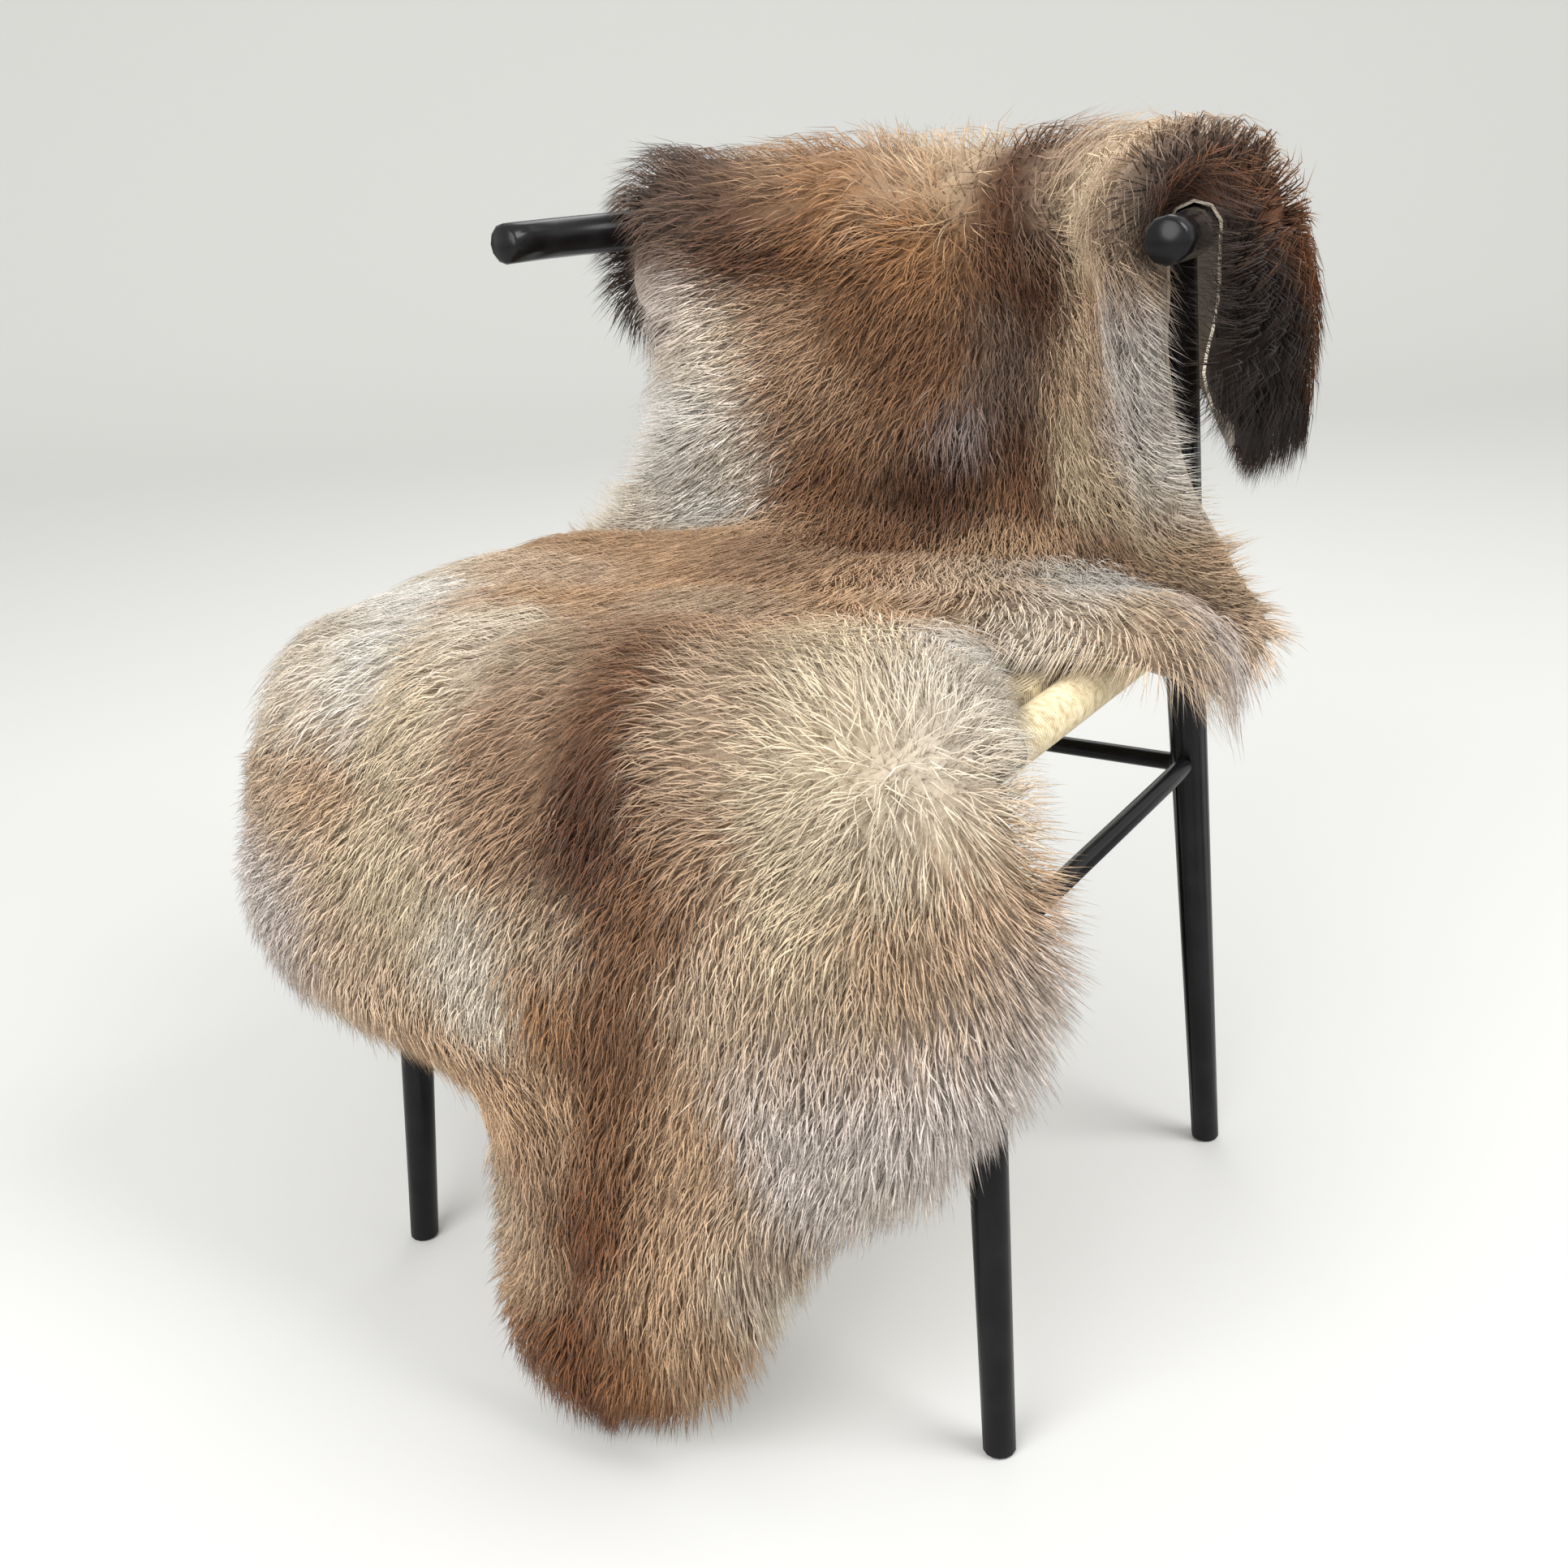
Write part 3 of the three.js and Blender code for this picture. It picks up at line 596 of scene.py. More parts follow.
def wool_lie(u, across):
    at = on_skin(u, across)
    heading = np.radians(LIE[:, 2])
    total = np.zeros((len(u), 2))
    weight = np.zeros(len(u))
    for (cu, cx), angle in zip(LIE[:, :2], heading):
        apart = ((at[:, 0] - cu) ** 2 + (at[:, 1] - cx) ** 2) / LIE_REACH ** 2
        near = 1 / (apart + LIE_CORE) ** LIE_POWER
        total += near[:, None] * np.array([math.sin(angle), -math.cos(angle)])
        weight += near
    agreement = np.linalg.norm(total, axis=-1) / weight
    return unit(total), agreement


print("lie of the wool at", len(LIE), "places")

# %% [markdown]
# The rim has a table of its own. For runs along the right side it gives how long the locks are, how far
# they fall and lean outwards, and how much they curl round the hide's edge. They hang long beside the
# bare cord, and curl at the back. The left rim keeps the first row's habit.

# %% The rim
RIM_STEPS = {"side": 420, "end": 60}
RIM_CHUNK = 2000
RIM_HABIT = {
    "at": (120, 150, 200, 250, 290, 340, 400, 560, 640, 725, 760),
    "length": (1.0, 1.55, 1.75, 1.5, 0.85, 0.9, 1.1, 1.1, 1.15, 1.1, 0.5),
    "fall": (0.35, 0.6, 1.0, 1.3, 0.5, 0.35, 0.25, 0.25, 0.15, 0.15, 0.3),
    "side": (0, 1.5, 1.1, 0.3, 0, 0, 0, 0, 0, 0, 0),
    "curl": (0.2, 0.1, 0.1, 0.2, 0.2, 0.5, 1.0, 1.0, 1.3, 1.3, 0.5),
}


def rim_line():
    # The rim as a loop of places (run, x) on the flat skin, and which way is out at each of them
    u = np.linspace(TIP, END, RIM_STEPS["side"])
    right = np.stack([u, rib_value("reachR", u)], -1)
    left = np.stack([u, -rib_value("reachL", u)], -1)
    share = np.linspace(0, 1, RIM_STEPS["end"])[1:-1, None]
    tip = left[0] * (1 - share) + right[0] * share
    end = right[-1] * (1 - share) + left[-1] * share
    loop = np.concatenate([tip, right, end, left[::-1]])
    tangent = unit(np.roll(loop, -2, 0) - np.roll(loop, 2, 0))
    return loop, np.stack([-tangent[:, 1], tangent[:, 0]], -1)


RIM, RIM_OUT = rim_line()


def nearest_rim(u, across):
    # How far the rim is from each place, and which way is out there. Chunks keep the tables small
    at = on_skin(u, across)
    distance = np.empty(len(at))
    outward = np.empty((len(at), 2))
    for start in range(0, len(at), RIM_CHUNK):
        gaps = ((RIM[None] - at[start:start + RIM_CHUNK, None]) ** 2).sum(-1)
        nearest = gaps.argmin(1)
        distance[start:start + RIM_CHUNK] = np.sqrt(gaps.min(1))
        outward[start:start + RIM_CHUNK] = RIM_OUT[nearest]
    return distance, outward


def rim_habit(name, u, across):
    right = np.interp(u, RIM_HABIT["at"], RIM_HABIT[name])
    return np.where(across > 0, right, RIM_HABIT[name][0])[:, None]


print("rim of", len(RIM), "places,", len(RIM_HABIT["at"]), "habits")

# %% [markdown]
# The wool is pressed where the hide folds, between seat and back and in the cut-in beside the right rail.
# It stands fuller where the hide bends over the rail, and slow waves make it lumpy. One number holds all
# of this, and both the underwool and the locks follow it.

# %% Height of the wool
WOOL_HEIGHT = 46
LUMPS = [(3, 31, 2), (2.5, 57, 11), (1.5, 17, -7)]
FULLER = {"from": 560, "to": 640, "middle": 3, "left": 4, "right": 21}
PRESSED = {"cut_in": 0.35, "crease": 0.5}
CREASE = {"at": 330, "width": 62, "start": 0.4, "ramp": 0.35}
CUT_IN = {"centre": np.array([195, -50, 470]), "size": np.array([60, 50, 60])}
BED = {"depth": 27, "rim_share": 0.12, "rim_run": 30, "rim_power": 0.8, "clearance": 0.4, "shade": 0.64}


def near_cut_in(u, across):
    return np.exp(-(((hide_point(u, across) - CUT_IN["centre"]) / CUT_IN["size"]) ** 2).sum(-1))


def crease(u, across):
    ends = np.clip((np.abs(across) - CREASE["start"]) / CREASE["ramp"], 0, 1)
    return np.exp(-(((u - CREASE["at"]) / CREASE["width"]) ** 2)) * ends


def lumps(u, across):
    return sum(height * np.sin(u / run + turn * across) for height, run, turn in LUMPS)


def fullness(u, across):
    over = smooth_step(u, FULLER["from"], FULLER["to"])
    side = np.where(across > 0, FULLER["right"], FULLER["left"])
    fuller = over * (FULLER["middle"] + side * across * across)
    folds = 1 - PRESSED["crease"] * crease(u, across)
    pressed = (1 - PRESSED["cut_in"] * near_cut_in(u, across)) * folds
    return (1 + (lumps(u, across) + fuller) / WOOL_HEIGHT) * pressed


def bed_height(u, across):
    rim = np.clip(nearest_rim(u, across)[0] / BED["rim_run"], 0, 1)
    share = BED["rim_share"] + (1 - BED["rim_share"]) * rim ** BED["rim_power"]
    return HIDE_THICKNESS + BED["clearance"] + BED["depth"] * fullness(u, across) * share


on_seat = bed_height(np.array([100.0]), np.array([0.0]))[0]
print("underwool", round(on_seat, 1), "mm high on the seat")

# %% [markdown]
# All of the wool shares one material. Its colour is stored in each vertex, from the markings, so a lock
# keeps the colour of the place where it grows. A fine noise streaks it as single fibres do.

# %% Wool
STREAKS = [(0.3, (0.84, 0.83, 0.82)), (0.7, (1.08, 1.08, 1.08))]


def mix_colours(tree, share, first, second, blend="MIX"):
    mix = tree.nodes.new("ShaderNodeMix")
    mix.data_type = "RGBA"
    mix.blend_type = blend
    set_inputs(tree, mix, {"Factor": share, "A": first, "B": second})
    return mix.outputs["Result"]


def wool_look(tree):
    fleece = tree.nodes.new("ShaderNodeAttribute")
    fleece.attribute_name = "fleece"
    streak = noise(tree, scale=420, detail=3)
    tone = ramp(tree, streak, STREAKS)
    return {
        "Base Color": mix_colours(tree, 1, fleece.outputs["Color"], tone, "MULTIPLY"),
        "Roughness": 0.85, "Sheen Weight": 0.08, "Sheen Roughness": 0.5, "Specular IOR Level": 0.12,
        "Normal": bump(tree, streak, strength=0.6, distance=0.002),
    }


def paint_wool(mesh, colours):
    shades = np.ones((len(colours), 4), np.float32)
    shades[:, :3] = colours
    layer = mesh.color_attributes.new("fleece", "FLOAT_COLOR", "POINT")
    layer.data.foreach_set("color", shades.ravel())


wool = surface("wool", wool_look)
print("material", wool.name)

# %% [markdown]
# Near the skin the wool is a dense, springy bed, painted darker than the locks as shade deep between
# them. One closed piece stands for it: the laid grid is extruded to a lumpy top. It fills the space
# between the locks, so that no gap shows the hide, and it replaces the imported skin.

# %% Underwool
BED_CELLS = (170, 64)


def underwool():
    bottom = HIDE_THICKNESS + BED["clearance"]
    bm, layers = laid_grid(BED_CELLS, lambda u, across: np.full_like(u, bottom))
    top = bmesh.ops.extrude_face_region(bm, geom=bm.faces[:], use_keep_orig=True)
    raised = [v for v in top["geom"] if isinstance(v, bmesh.types.BMVert)]
    move_onto(raised, layers, bed_height)
    u, across = grid_values(bm.verts[:], layers)
    mesh = mesh_from("underwool", bm)
    # Painted shade: the bed takes the wool's colour darkened, so it reads as depth between the locks
    paint_wool(mesh, wool_colour(u, across) * BED["shade"])
    mesh.shade_smooth()
    return mesh


bed = add_piece("underwool", underwool(), wool)
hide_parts("sheepskin")
print("underwool faces", len(bed.data.polygons))

# %% [markdown]
# A lock is a small bundle of fibres that ends in a point. One is modelled as a three-sided cone with a
# ring in its middle, so that it can bend. A single guard hair is the same cone without the ring. All the
# others are copies of these two.

# %% One lock and one hair
def small_cone(rings):
    bm = bmesh.new()
    bmesh.ops.create_cone(bm, cap_ends=True, segments=3, radius1=1, radius2=0, depth=1)
    bmesh.ops.remove_doubles(bm, verts=bm.verts, dist=1e-5)
    bmesh.ops.translate(bm, verts=bm.verts, vec=(0, 0, 0.5))
    for ring in range(1, rings):
        geom = bm.verts[:] + bm.edges[:] + bm.faces[:]
        bmesh.ops.bisect_plane(bm, geom=geom, plane_co=(0, 0, ring / rings), plane_no=(0, 0, 1))
    bmesh.ops.recalc_face_normals(bm, faces=bm.faces)
    bm.verts.index_update()
    cone = {
        "verts": np.array([v.co[:] for v in bm.verts]),
        "corners": np.concatenate([[v.index for v in f.verts] for f in bm.faces]),
        "sizes": np.array([len(f.verts) for f in bm.faces]),
    }
    bm.free()
    return cone


LOCK, HAIR = small_cone(2), small_cone(1)
print("a lock has", len(LOCK["verts"]), "vertices, a hair", len(HAIR["verts"]))

# %% [markdown]
# Locks grow evenly over the skin, and closer together at the rim. Crimp holds neighbours together in
# tufts about 15 mm wide. Each tuft is a cell of a loose grid, with a middle and a shade of its own.

# %% Where the locks grow
RIM_GROWTH = {"more": 1.9, "run": 22}
TUFT = {"size": 15, "pull": 0.4, "middle": 0.4, "margin": 0.2, "play": 0.6, "dark": 0.93, "light": 0.14}
HASH = {"along": (12.9898, 78.233), "across": (39.346, 11.135), "shade": (73.156, 52.235)}
HASH_START, HASH_SPREAD = 3.7, 43758.5453


def cell_middle(values):
    return (values[1:, 1:] + values[:-1, :-1]) / 2


middle_u, middle_a = cell_middle(grid_u), cell_middle(grid_a)
middle_edge = nearest_rim(middle_u.ravel(), middle_a.ravel())[0].reshape(middle_u.shape)
root_weight = cell_area * (1 + RIM_GROWTH["more"] * np.exp(-middle_edge / RIM_GROWTH["run"]))


def scatter(count, rng, low, high):
    weight = (root_weight * ((middle_u >= low) & (middle_u < high))).ravel()
    cell = rng.choice(weight.size, size=count, p=weight / weight.sum())
    i, j = np.divmod(cell, cell_area.shape[1])
    u = grid_u[i, j] + rng.random(count) * (grid_u[1, 0] - grid_u[0, 0])
    across = grid_a[i, j] + rng.random(count) * (grid_a[0, 1] - grid_a[0, 0])
    return np.clip(u, TIP, END), np.clip(across, -1, 1)


def hashed(i, j, pair):
    # A number from 0 to 1 that looks random but is always the same for one tuft
    a, b = pair
    return np.modf(np.abs(np.sin(i * a + j * b + HASH_START) * HASH_SPREAD))[0]


def tufts(u, across):
    # The way from each root to the middle of its tuft, over the skin, and a shade of the tuft's own
    x = on_skin(u, across)[:, 1]
    size, margin, play = TUFT["size"], TUFT["margin"], TUFT["play"]
    i, j = np.floor(u / size), np.floor(x / size)
    du = (i + margin + play * hashed(i, j, HASH["along"])) * size - u
    dx = (j + margin + play * hashed(i, j, HASH["across"])) * size - x
    return du, dx, TUFT["dark"] + TUFT["light"] * hashed(i, j, HASH["shade"])


print("places for roots", root_weight.size)

# %% [markdown]
# Each lock is bent along a curve of its own with three points. It leaves the skin first, then turns along
# the lie of the wool and droops a little. At the rim it falls over the edge and curls round it. Where the
# lie is loose it stands up and strays more.

# %% How a lock bends
GRAVITY = np.array([0, 0, -1.0])
LIFT = {"calm": 0.31, "loose": 0.5, "rim": 0.55}
STRAY = {"calm": 0.2, "loose": 1.5}
RIM_FALL = {"run": 12, "over": 1.2}
LOCK_LENGTH = {"wool": 41, "rim": 38, "spread": 0.12, "least": 0.65, "most": 1.3}
ROOT = {"depth": 0.88, "rim": 0.5}
CURL = {"least": 0.4, "play": 0.6}
RISE = {"skin": 0.22, "rim": 0.1, "curl": 0.4, "flow": 0.8}
SETTLE = {"lift": 0.35, "skin": 0.05, "curl": 1.7}
DROOP = {"skin": 0.1, "rim": 0.3}
WAVE = 1.3
LOWEST_TIP = 4


def combed(u, across, rng):
    # Which way the wool lies at each root, in the skin and at its rim, and how upright it stands
    along, right, out = hide_axes(u, across)
    lie, agreement = wool_lie(u, across)
    loose = (1 - agreement) ** 2
    turn = rng.normal(0, 1, len(u)) * (STRAY["calm"] + STRAY["loose"] * loose)
    lie = np.stack([lie[:, 0] * np.cos(turn) - lie[:, 1] * np.sin(turn),
                    lie[:, 0] * np.sin(turn) + lie[:, 1] * np.cos(turn)], -1)
    edge, outward = nearest_rim(u, across)
    rim = np.exp(-edge / RIM_FALL["run"])[:, None]
    over_edge = right * outward[:, 1:] + along * outward[:, :1]
    flow = right * lie[:, :1] + along * lie[:, 1:]
    falling = rim_habit("fall", u, across) * GRAVITY + rim_habit("side", u, across) * right
    flow = unit(flow * (1 - rim) + (RIM_FALL["over"] * over_edge + falling) * rim)
    lift = (LIFT["calm"] + LIFT["loose"] * loose[:, None]) * (1 - LIFT["rim"] * rim)
    return along, right, out, flow, rim, lift


def lock_lengths(u, across, rim):
    at_rim = LOCK_LENGTH["rim"] * rim * rim_habit("length", u, across)
    length = LOCK_LENGTH["wool"] * (1 - rim) + at_rim
    return length * (fullness(u, across)[:, None] * (1 - rim) + rim)


def curves(u, across, rng, length_scale):
    # The three control points of each lock: root, middle and tip
    count = len(u)
    along, right, out, flow, rim, lift = combed(u, across, rng)
    varied = rng.normal(1, LOCK_LENGTH["spread"], count)[:, None]
    varied = varied.clip(LOCK_LENGTH["least"], LOCK_LENGTH["most"])
    length = lock_lengths(u, across, rim) * length_scale * varied
    depth = bed_height(u, across)[:, None] * (ROOT["depth"] - ROOT["rim"] * rim)
    root = hide_point(u, across) + out * depth
    curl = rim_habit("curl", u, across) * rim * (CURL["least"] + CURL["play"] * rng.random(count)[:, None])
    rise = lift + RISE["skin"] + RISE["rim"] * rim - RISE["curl"] * curl
    middle = root + length * 0.5 * unit(out * rise + flow * RISE["flow"])
    droop = GRAVITY * (DROOP["skin"] + DROOP["rim"] * rim)
    settle = lift * SETTLE["lift"] - SETTLE["skin"] - SETTLE["curl"] * curl
    tip = middle + length * 0.5 * unit(out * settle + flow + droop)
    du, dx, shade = tufts(u, across)
    gather = TUFT["pull"] * (1 - rim) * (along * du[:, None] + right * dx[:, None])
    wave = rng.normal(0, WAVE, (count, 3))
    middle = middle + gather * TUFT["middle"] + wave
    tip = tip + gather
    tip[:, 2] = np.maximum(tip[:, 2], LOWEST_TIP)
    return root, middle, tip, out, shade, rim[:, 0]


print("locks", LOCK_LENGTH["wool"], "mm long, and", LOCK_LENGTH["rim"], "mm at the rim")

# %% [markdown]
# A lock is painted darker towards its root, as shade deep in the wool. Its tip is bleached by light, and
# a little grey is added there as painted sheen. It takes its colour from a place beside its root, so
# the patches have ragged edges. All copies of a cone become one mesh, built from arrays.

# %% Colour and mesh of the locks
# Painted shade: the root end of each lock is darker
SHADE = {"root": 0.74, "tip": 1.06}
# Tips are lightened: real bleaching, plus a little grey that is painted sheen
TIP_BLEACH_AND_SHEEN = {"share": 0.5, "gain": 1.45, "grey": 0.012}
BRIGHTEST = {"tip": 0.95, "all": 0.97}
COLOUR_PLAY = {"along": 6, "across": 0.025, "tone": 0.08, "least": 0.75, "most": 1.25}
LOCK_BODY = {"width": 0.62, "rim": 0.3, "spread": 0.2, "least": 0.5, "most": 1.6, "swell": 1.6, "flat": 0.6}


def lock_colours(u, across, rng, tuft_shade, t):
    count, play = len(u), COLOUR_PLAY
    beside_u = u + rng.normal(0, play["along"], count)
    beside_a = np.clip(across + rng.normal(0, play["across"], count), -1, 1)
    tone = rng.normal(1, play["tone"], count).clip(play["least"], play["most"])
    colour = wool_colour(beside_u, beside_a) * (tuft_shade * tone)[:, None]
    shade = SHADE["root"] + (SHADE["tip"] - SHADE["root"]) * t
    painted = colour[:, None, :] * shade[None, :, None]
    light = np.minimum(BRIGHTEST["tip"], colour * TIP_BLEACH_AND_SHEEN["gain"] + TIP_BLEACH_AND_SHEEN["grey"])
    share = TIP_BLEACH_AND_SHEEN["share"] * rng.random(count) ** 2
    share = share[:, None, None] * (t ** 2)[None, :, None]
    return np.minimum(BRIGHTEST["all"], painted * (1 - share) + light[:, None, :] * share)


def mesh_of(name, cone, points, painted):
    count, per = points.shape[:2]
    corners, sizes = cone["corners"], cone["sizes"]
    each = np.arange(count)[:, None]
    starts = np.concatenate([[0], np.cumsum(sizes)[:-1]])
    mesh = bpy.data.meshes.new(name)
    mesh.vertices.add(count * per)
    mesh.vertices.foreach_set("co", points.reshape(-1).astype(np.float32))
    mesh.loops.add(count * len(corners))
    mesh.loops.foreach_set("vertex_index", (corners[None] + each * per).ravel().astype(np.int32))
    mesh.polygons.add(count * len(sizes))
    mesh.polygons.foreach_set("loop_start", (starts[None] + each * len(corners)).ravel().astype(np.int32))
    mesh.update(calc_edges=True)
    mesh.validate()
    paint_wool(mesh, painted.reshape(-1, 3))
    mesh.shade_smooth()
    return mesh


def grow(name, cone, count, seed, span, width=1.0, length_scale=1.0):
    rng = np.random.default_rng(seed)
    u, across = scatter(count, rng, *span)
    root, middle, tip, out, tuft_shade, rim = curves(u, across, rng, length_scale)
    t = cone["verts"][:, 2]
    steps = np.stack([(1 - t) ** 2, 2 * t * (1 - t), t ** 2], -1)
    control = np.stack([root, 2 * middle - 0.5 * (root + tip), tip], 1)
    centre = np.einsum("vk,nkc->nvc", steps, control)
    heading = unit(tip - root)
    flat_side = unit(np.cross(heading, out))
    thin_side = np.cross(heading, flat_side)
    varied = rng.normal(1, LOCK_BODY["spread"], count).clip(LOCK_BODY["least"], LOCK_BODY["most"])
    radius = LOCK_BODY["width"] * width * (1 - LOCK_BODY["rim"] * rim) * varied
    between = (t > 0.05) & (t < 0.95)
    ring = cone["verts"][:, :2] * np.where(between, LOCK_BODY["swell"], 1.0)[:, None]
    wide = flat_side[:, None, :] * ring[None, :, :1]
    thin = LOCK_BODY["flat"] * thin_side[:, None, :] * ring[None, :, 1:]
    points = in_scene(centre + (wide + thin) * radius[:, None, None])
    painted = lock_colours(u, across, rng, tuft_shade, t)
    return add_piece(name, mesh_of(name, cone, points, painted), wool)


print("locks up to", LOCK_BODY["width"] * LOCK_BODY["most"], "mm wide")

# %% [markdown]
# The fleece grows in four stretches of locks and two of hairs, so that no mesh gets too heavy, each from
# its own seed.

# %% Grow the fleece
SPANS = {"front": (TIP, -140), "lap": (-140, 130), "seat": (130, 480), "back": (480, END + 1)}
LOCKS = {"front": 15000, "lap": 17000, "seat": 18000, "back": 18000}
HAIRS = {"front": (TIP, 150), "back": (150, END + 1)}
HAIR_COUNT = 20000
SEEDS = {"locks": 11, "hairs": 31}
HAIR_SCALE = {"width": 0.6, "length_scale": 1.02}
fleece = [grow(f"wool_{name}", LOCK, LOCKS[name], SEEDS["locks"] + i, span)
          for i, (name, span) in enumerate(SPANS.items())]
fleece += [grow(f"hair_{name}", HAIR, HAIR_COUNT, SEEDS["hairs"] + i, span, **HAIR_SCALE)
           for i, (name, span) in enumerate(HAIRS.items())]
print("locks and hairs", sum(LOCKS.values()) + HAIR_COUNT * len(HAIRS))

# %% [markdown]
# The chair is round wooden rod under black satin lacquer. The lacquer is smooth and deep black, with a
# faint grain that only shows in its highlights, and its floor ends are dulled by dust.

# %% Lacquer
LACQUER = {"black": (0.0035, 0.0035, 0.004), "grey": (0.008, 0.008, 0.009)}
DUST_HEIGHT = 0.05
GLOSS = {"dusty": 0.5, "clean": 0.24}


def lacquer_look(tree):
    cloud = noise(tree, scale=30, detail=4)
    grain = noise(tree, scale=90, detail=6, stretch=(9, 9, 0.5))
    return {
        "Base Color": ramp(tree, cloud, [(0.4, LACQUER["black"]), (0.7, LACQUER["grey"])]),
        "Roughness": along_axis(tree, "Z", (0, DUST_HEIGHT), (GLOSS["dusty"], GLOSS["clean"])),
        "Specular IOR Level": 0.2, "Normal": bump(tree, grain, strength=0.1, distance=0.0003),
    }


lacquer = surface("black_lacquer", lacquer_look)
print("material", lacquer.name)

# %% [markdown]
# Turned rods are truly round, and their free ends are rounded over before lacquering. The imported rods
# are faceted, so each is merged and shaded as one round face, and only its free ends are bevelled.

# %% Turned rods
MERGE = 0.00001
FLAT = math.radians(1.5)
SHARP = math.radians(50)
FOOT_TOP = 0.004
END_ROUND = {"rail": 0.008, "foot": 0.003}
ROUND_STEPS = 5
RODS = ["back_rail", "back_stretcher"] + [f"{rod}_{side}" for side in ("left", "right")
                                          for rod in ("front_leg", "back_leg", "side_stretcher")]


def turned_rod(name):
    bm = bmesh.new()
    bm.from_mesh(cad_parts[name].data)
    bmesh.ops.remove_doubles(bm, verts=bm.verts, dist=MERGE)
    bmesh.ops.dissolve_limit(bm, angle_limit=FLAT, verts=bm.verts, edges=bm.edges)
    is_rail = name == "back_rail"
    sharp = [e for e in bm.edges if e.calc_face_angle(0) > SHARP]
    free = [e for e in sharp if is_rail or max(v.co.z for v in e.verts) < FOOT_TOP]
    if free:
        bmesh.ops.bevel(bm, geom=free, offset=END_ROUND["rail" if is_rail else "foot"], affect="EDGES",
                        offset_type="OFFSET", segments=ROUND_STEPS, profile=0.5, material=-1)
    mesh = mesh_from(f"{name}_turned", bm)
    mesh.shade_smooth()
    mesh.set_sharp_from_angle(angle=SHARP)
    piece = add_piece(mesh.name, mesh, lacquer)
    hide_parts(name)
    return piece


rods = [turned_rod(name) for name in RODS]
print("lacquered", {rod.name: len(rod.data.polygons) for rod in rods})

# %% [markdown]
# The seat is wound with twisted paper cord. On the four rails each turn of the cord shows, so a small
# round section is spun along every rail with a steady advance, which makes one long helix. The wooden
# rail inside it is lacquered like the rest.

# %% Cord windings
CORD = {"radius": 1.55, "pitch": 3.25, "helix": 14.35, "steps": 12, "sides": 5}
CORD_COLOURS = [(0.25, (0.40, 0.30, 0.16)), (0.5, (0.66, 0.55, 0.35)), (0.75, (0.78, 0.70, 0.50))]
RAIL_HEIGHT = 453
RAIL_ENDS = {
    "front": ((-230.6, -189.0), (230.6, -189.0)), "back": ((-208.6, 176.9), (208.6, 176.9)),
    "left": ((-230.6, -189.0), (-208.6, 176.9)), "right": ((230.6, -189.0), (208.6, 176.9)),
}
BARE_ENDS = {"front": (21, 21), "back": (22, 22), "left": (19, 20), "right": (44, 20)}


def cord_look(tree):
    tone = noise(tree, scale=160, detail=4)
    twist = noise(tree, scale=1500, detail=2)
    return {
        "Base Color": ramp(tree, tone, CORD_COLOURS), "Roughness": 0.75,
        "Normal": bump(tree, twist, strength=0.4, distance=0.0004),
    }


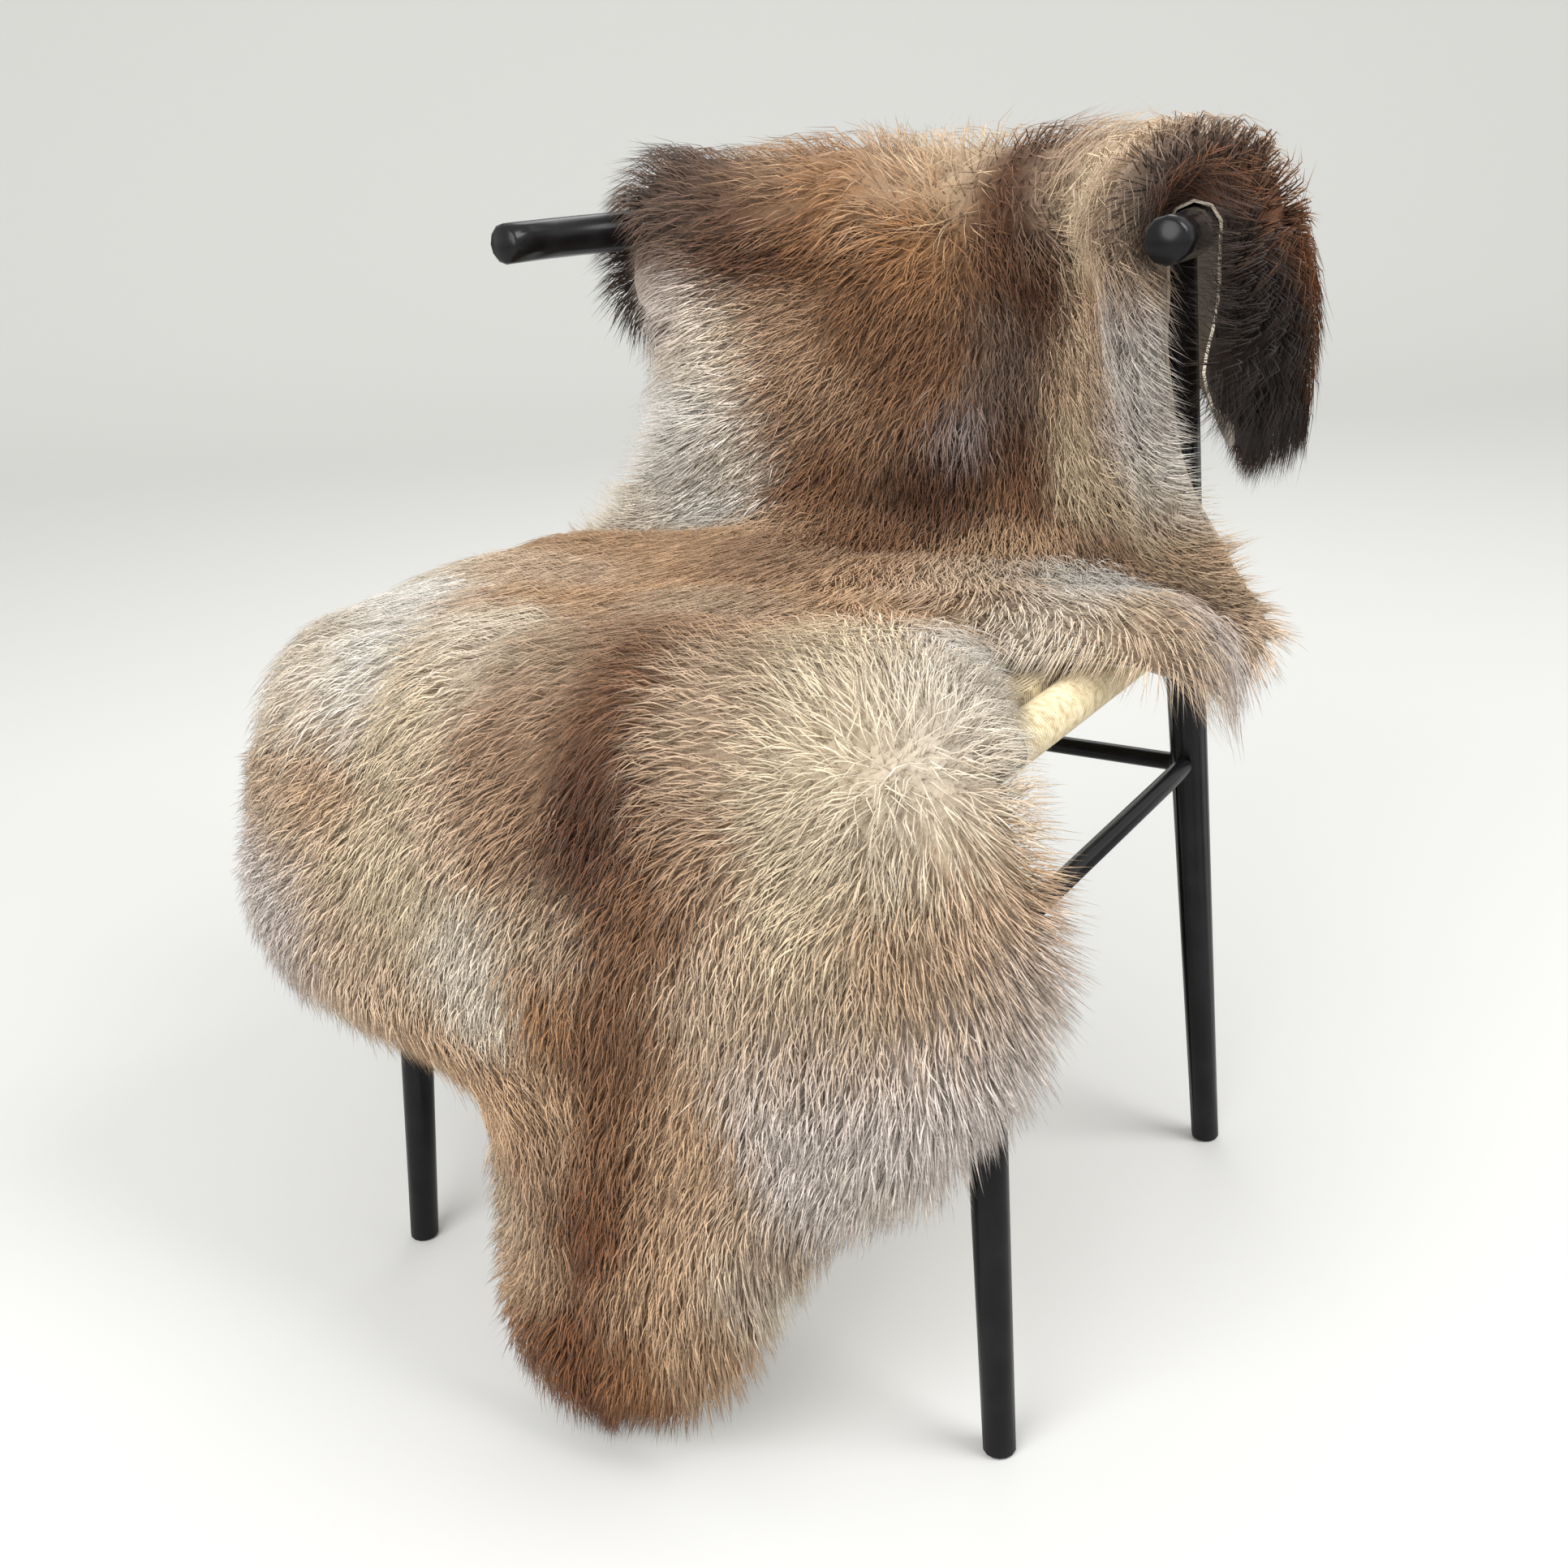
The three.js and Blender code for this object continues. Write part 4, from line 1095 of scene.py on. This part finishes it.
def wind_rail(name, ends, bare):
    start, stop = (Vector((*end, RAIL_HEIGHT)) for end in ends)
    axis = (stop - start).normalized()
    first = start + axis * bare[0]
    length = (stop - start).length - sum(bare)
    turns = length / CORD["pitch"]
    steps = int(turns * CORD["steps"])
    bm = bmesh.new()
    section = bmesh.ops.create_circle(bm, segments=CORD["sides"], radius=CORD["radius"], cap_ends=True)
    upright = Matrix.Rotation(math.radians(90), 4, "X")
    beside = Matrix.Translation((CORD["helix"], 0, 0)) @ upright
    bmesh.ops.transform(bm, matrix=beside, verts=section["verts"])
    bmesh.ops.spin(bm, geom=bm.verts[:] + bm.edges[:] + bm.faces[:], cent=(0, 0, 0), axis=(0, 0, 1),
                   dvec=(0, 0, length / steps), angle=2 * math.pi * turns, steps=steps, use_duplicate=False)
    place = Matrix.Translation(first) @ axis.to_track_quat("Z", "Y").to_matrix().to_4x4()
    place = Matrix.Translation(CHAIR) @ Matrix.Scale(MM, 4) @ place
    bmesh.ops.transform(bm, matrix=place, verts=bm.verts)
    mesh = mesh_from(name, bm)
    mesh.shade_smooth()
    return add_piece(name, mesh, cord)


def repaint(names, material):
    for name in names:
        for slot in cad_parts[name].material_slots:
            slot.material = material


cord = surface("paper_cord", cord_look)
windings = [wind_rail(f"winding_{side}", ends, BARE_ENDS[side]) for side, ends in RAIL_ENDS.items()]
repaint([f"seat_rail_{side}" for side in RAIL_ENDS], lacquer)
print("windings", [len(w.data.polygons) for w in windings])

# %% [markdown]
# The woven panel between the rails is flat and mostly hidden, so its cords are a pattern in its material:
# bands of waves, which cross over in small squares and stand up as a bump. The grooves between the cords
# are painted darker, as shade.

# %% Woven seat
# Painted shade: the dark end of this ramp falls in the grooves between the cords
WEAVE_COLOURS_AND_GROOVE_SHADE = [(0.0, (0.18, 0.13, 0.07)), (0.5, (0.62, 0.51, 0.32))]
WEAVE = {"bands": 3.2, "square": 4, "waver": 0.6}


def bands(tree, direction):
    wave = tree.nodes.new("ShaderNodeTexWave")
    wave.bands_direction = direction
    scale = 1 / (CORD["pitch"] * MM) / WEAVE["bands"]
    set_inputs(tree, wave, {"Vector": object_place(tree), "Scale": scale, "Detail": 1,
                            "Distortion": WEAVE["waver"]})
    return wave.outputs["Color"]


def weave_look(tree):
    scale = 1 / (CORD["pitch"] * MM * WEAVE["square"])
    squares = add_node(tree, "ShaderNodeTexChecker", {"Vector": object_place(tree), "Scale": scale})
    cords = mix_colours(tree, squares.outputs["Fac"], bands(tree, "X"), bands(tree, "Y"))
    return {
        "Base Color": ramp(tree, cords, WEAVE_COLOURS_AND_GROOVE_SHADE), "Roughness": 0.8,
        "Normal": bump(tree, cords, strength=0.8, distance=0.002),
    }


weave = surface("cord_weave", weave_look)
repaint(["woven_seat"], weave)
print("material", weave.name)
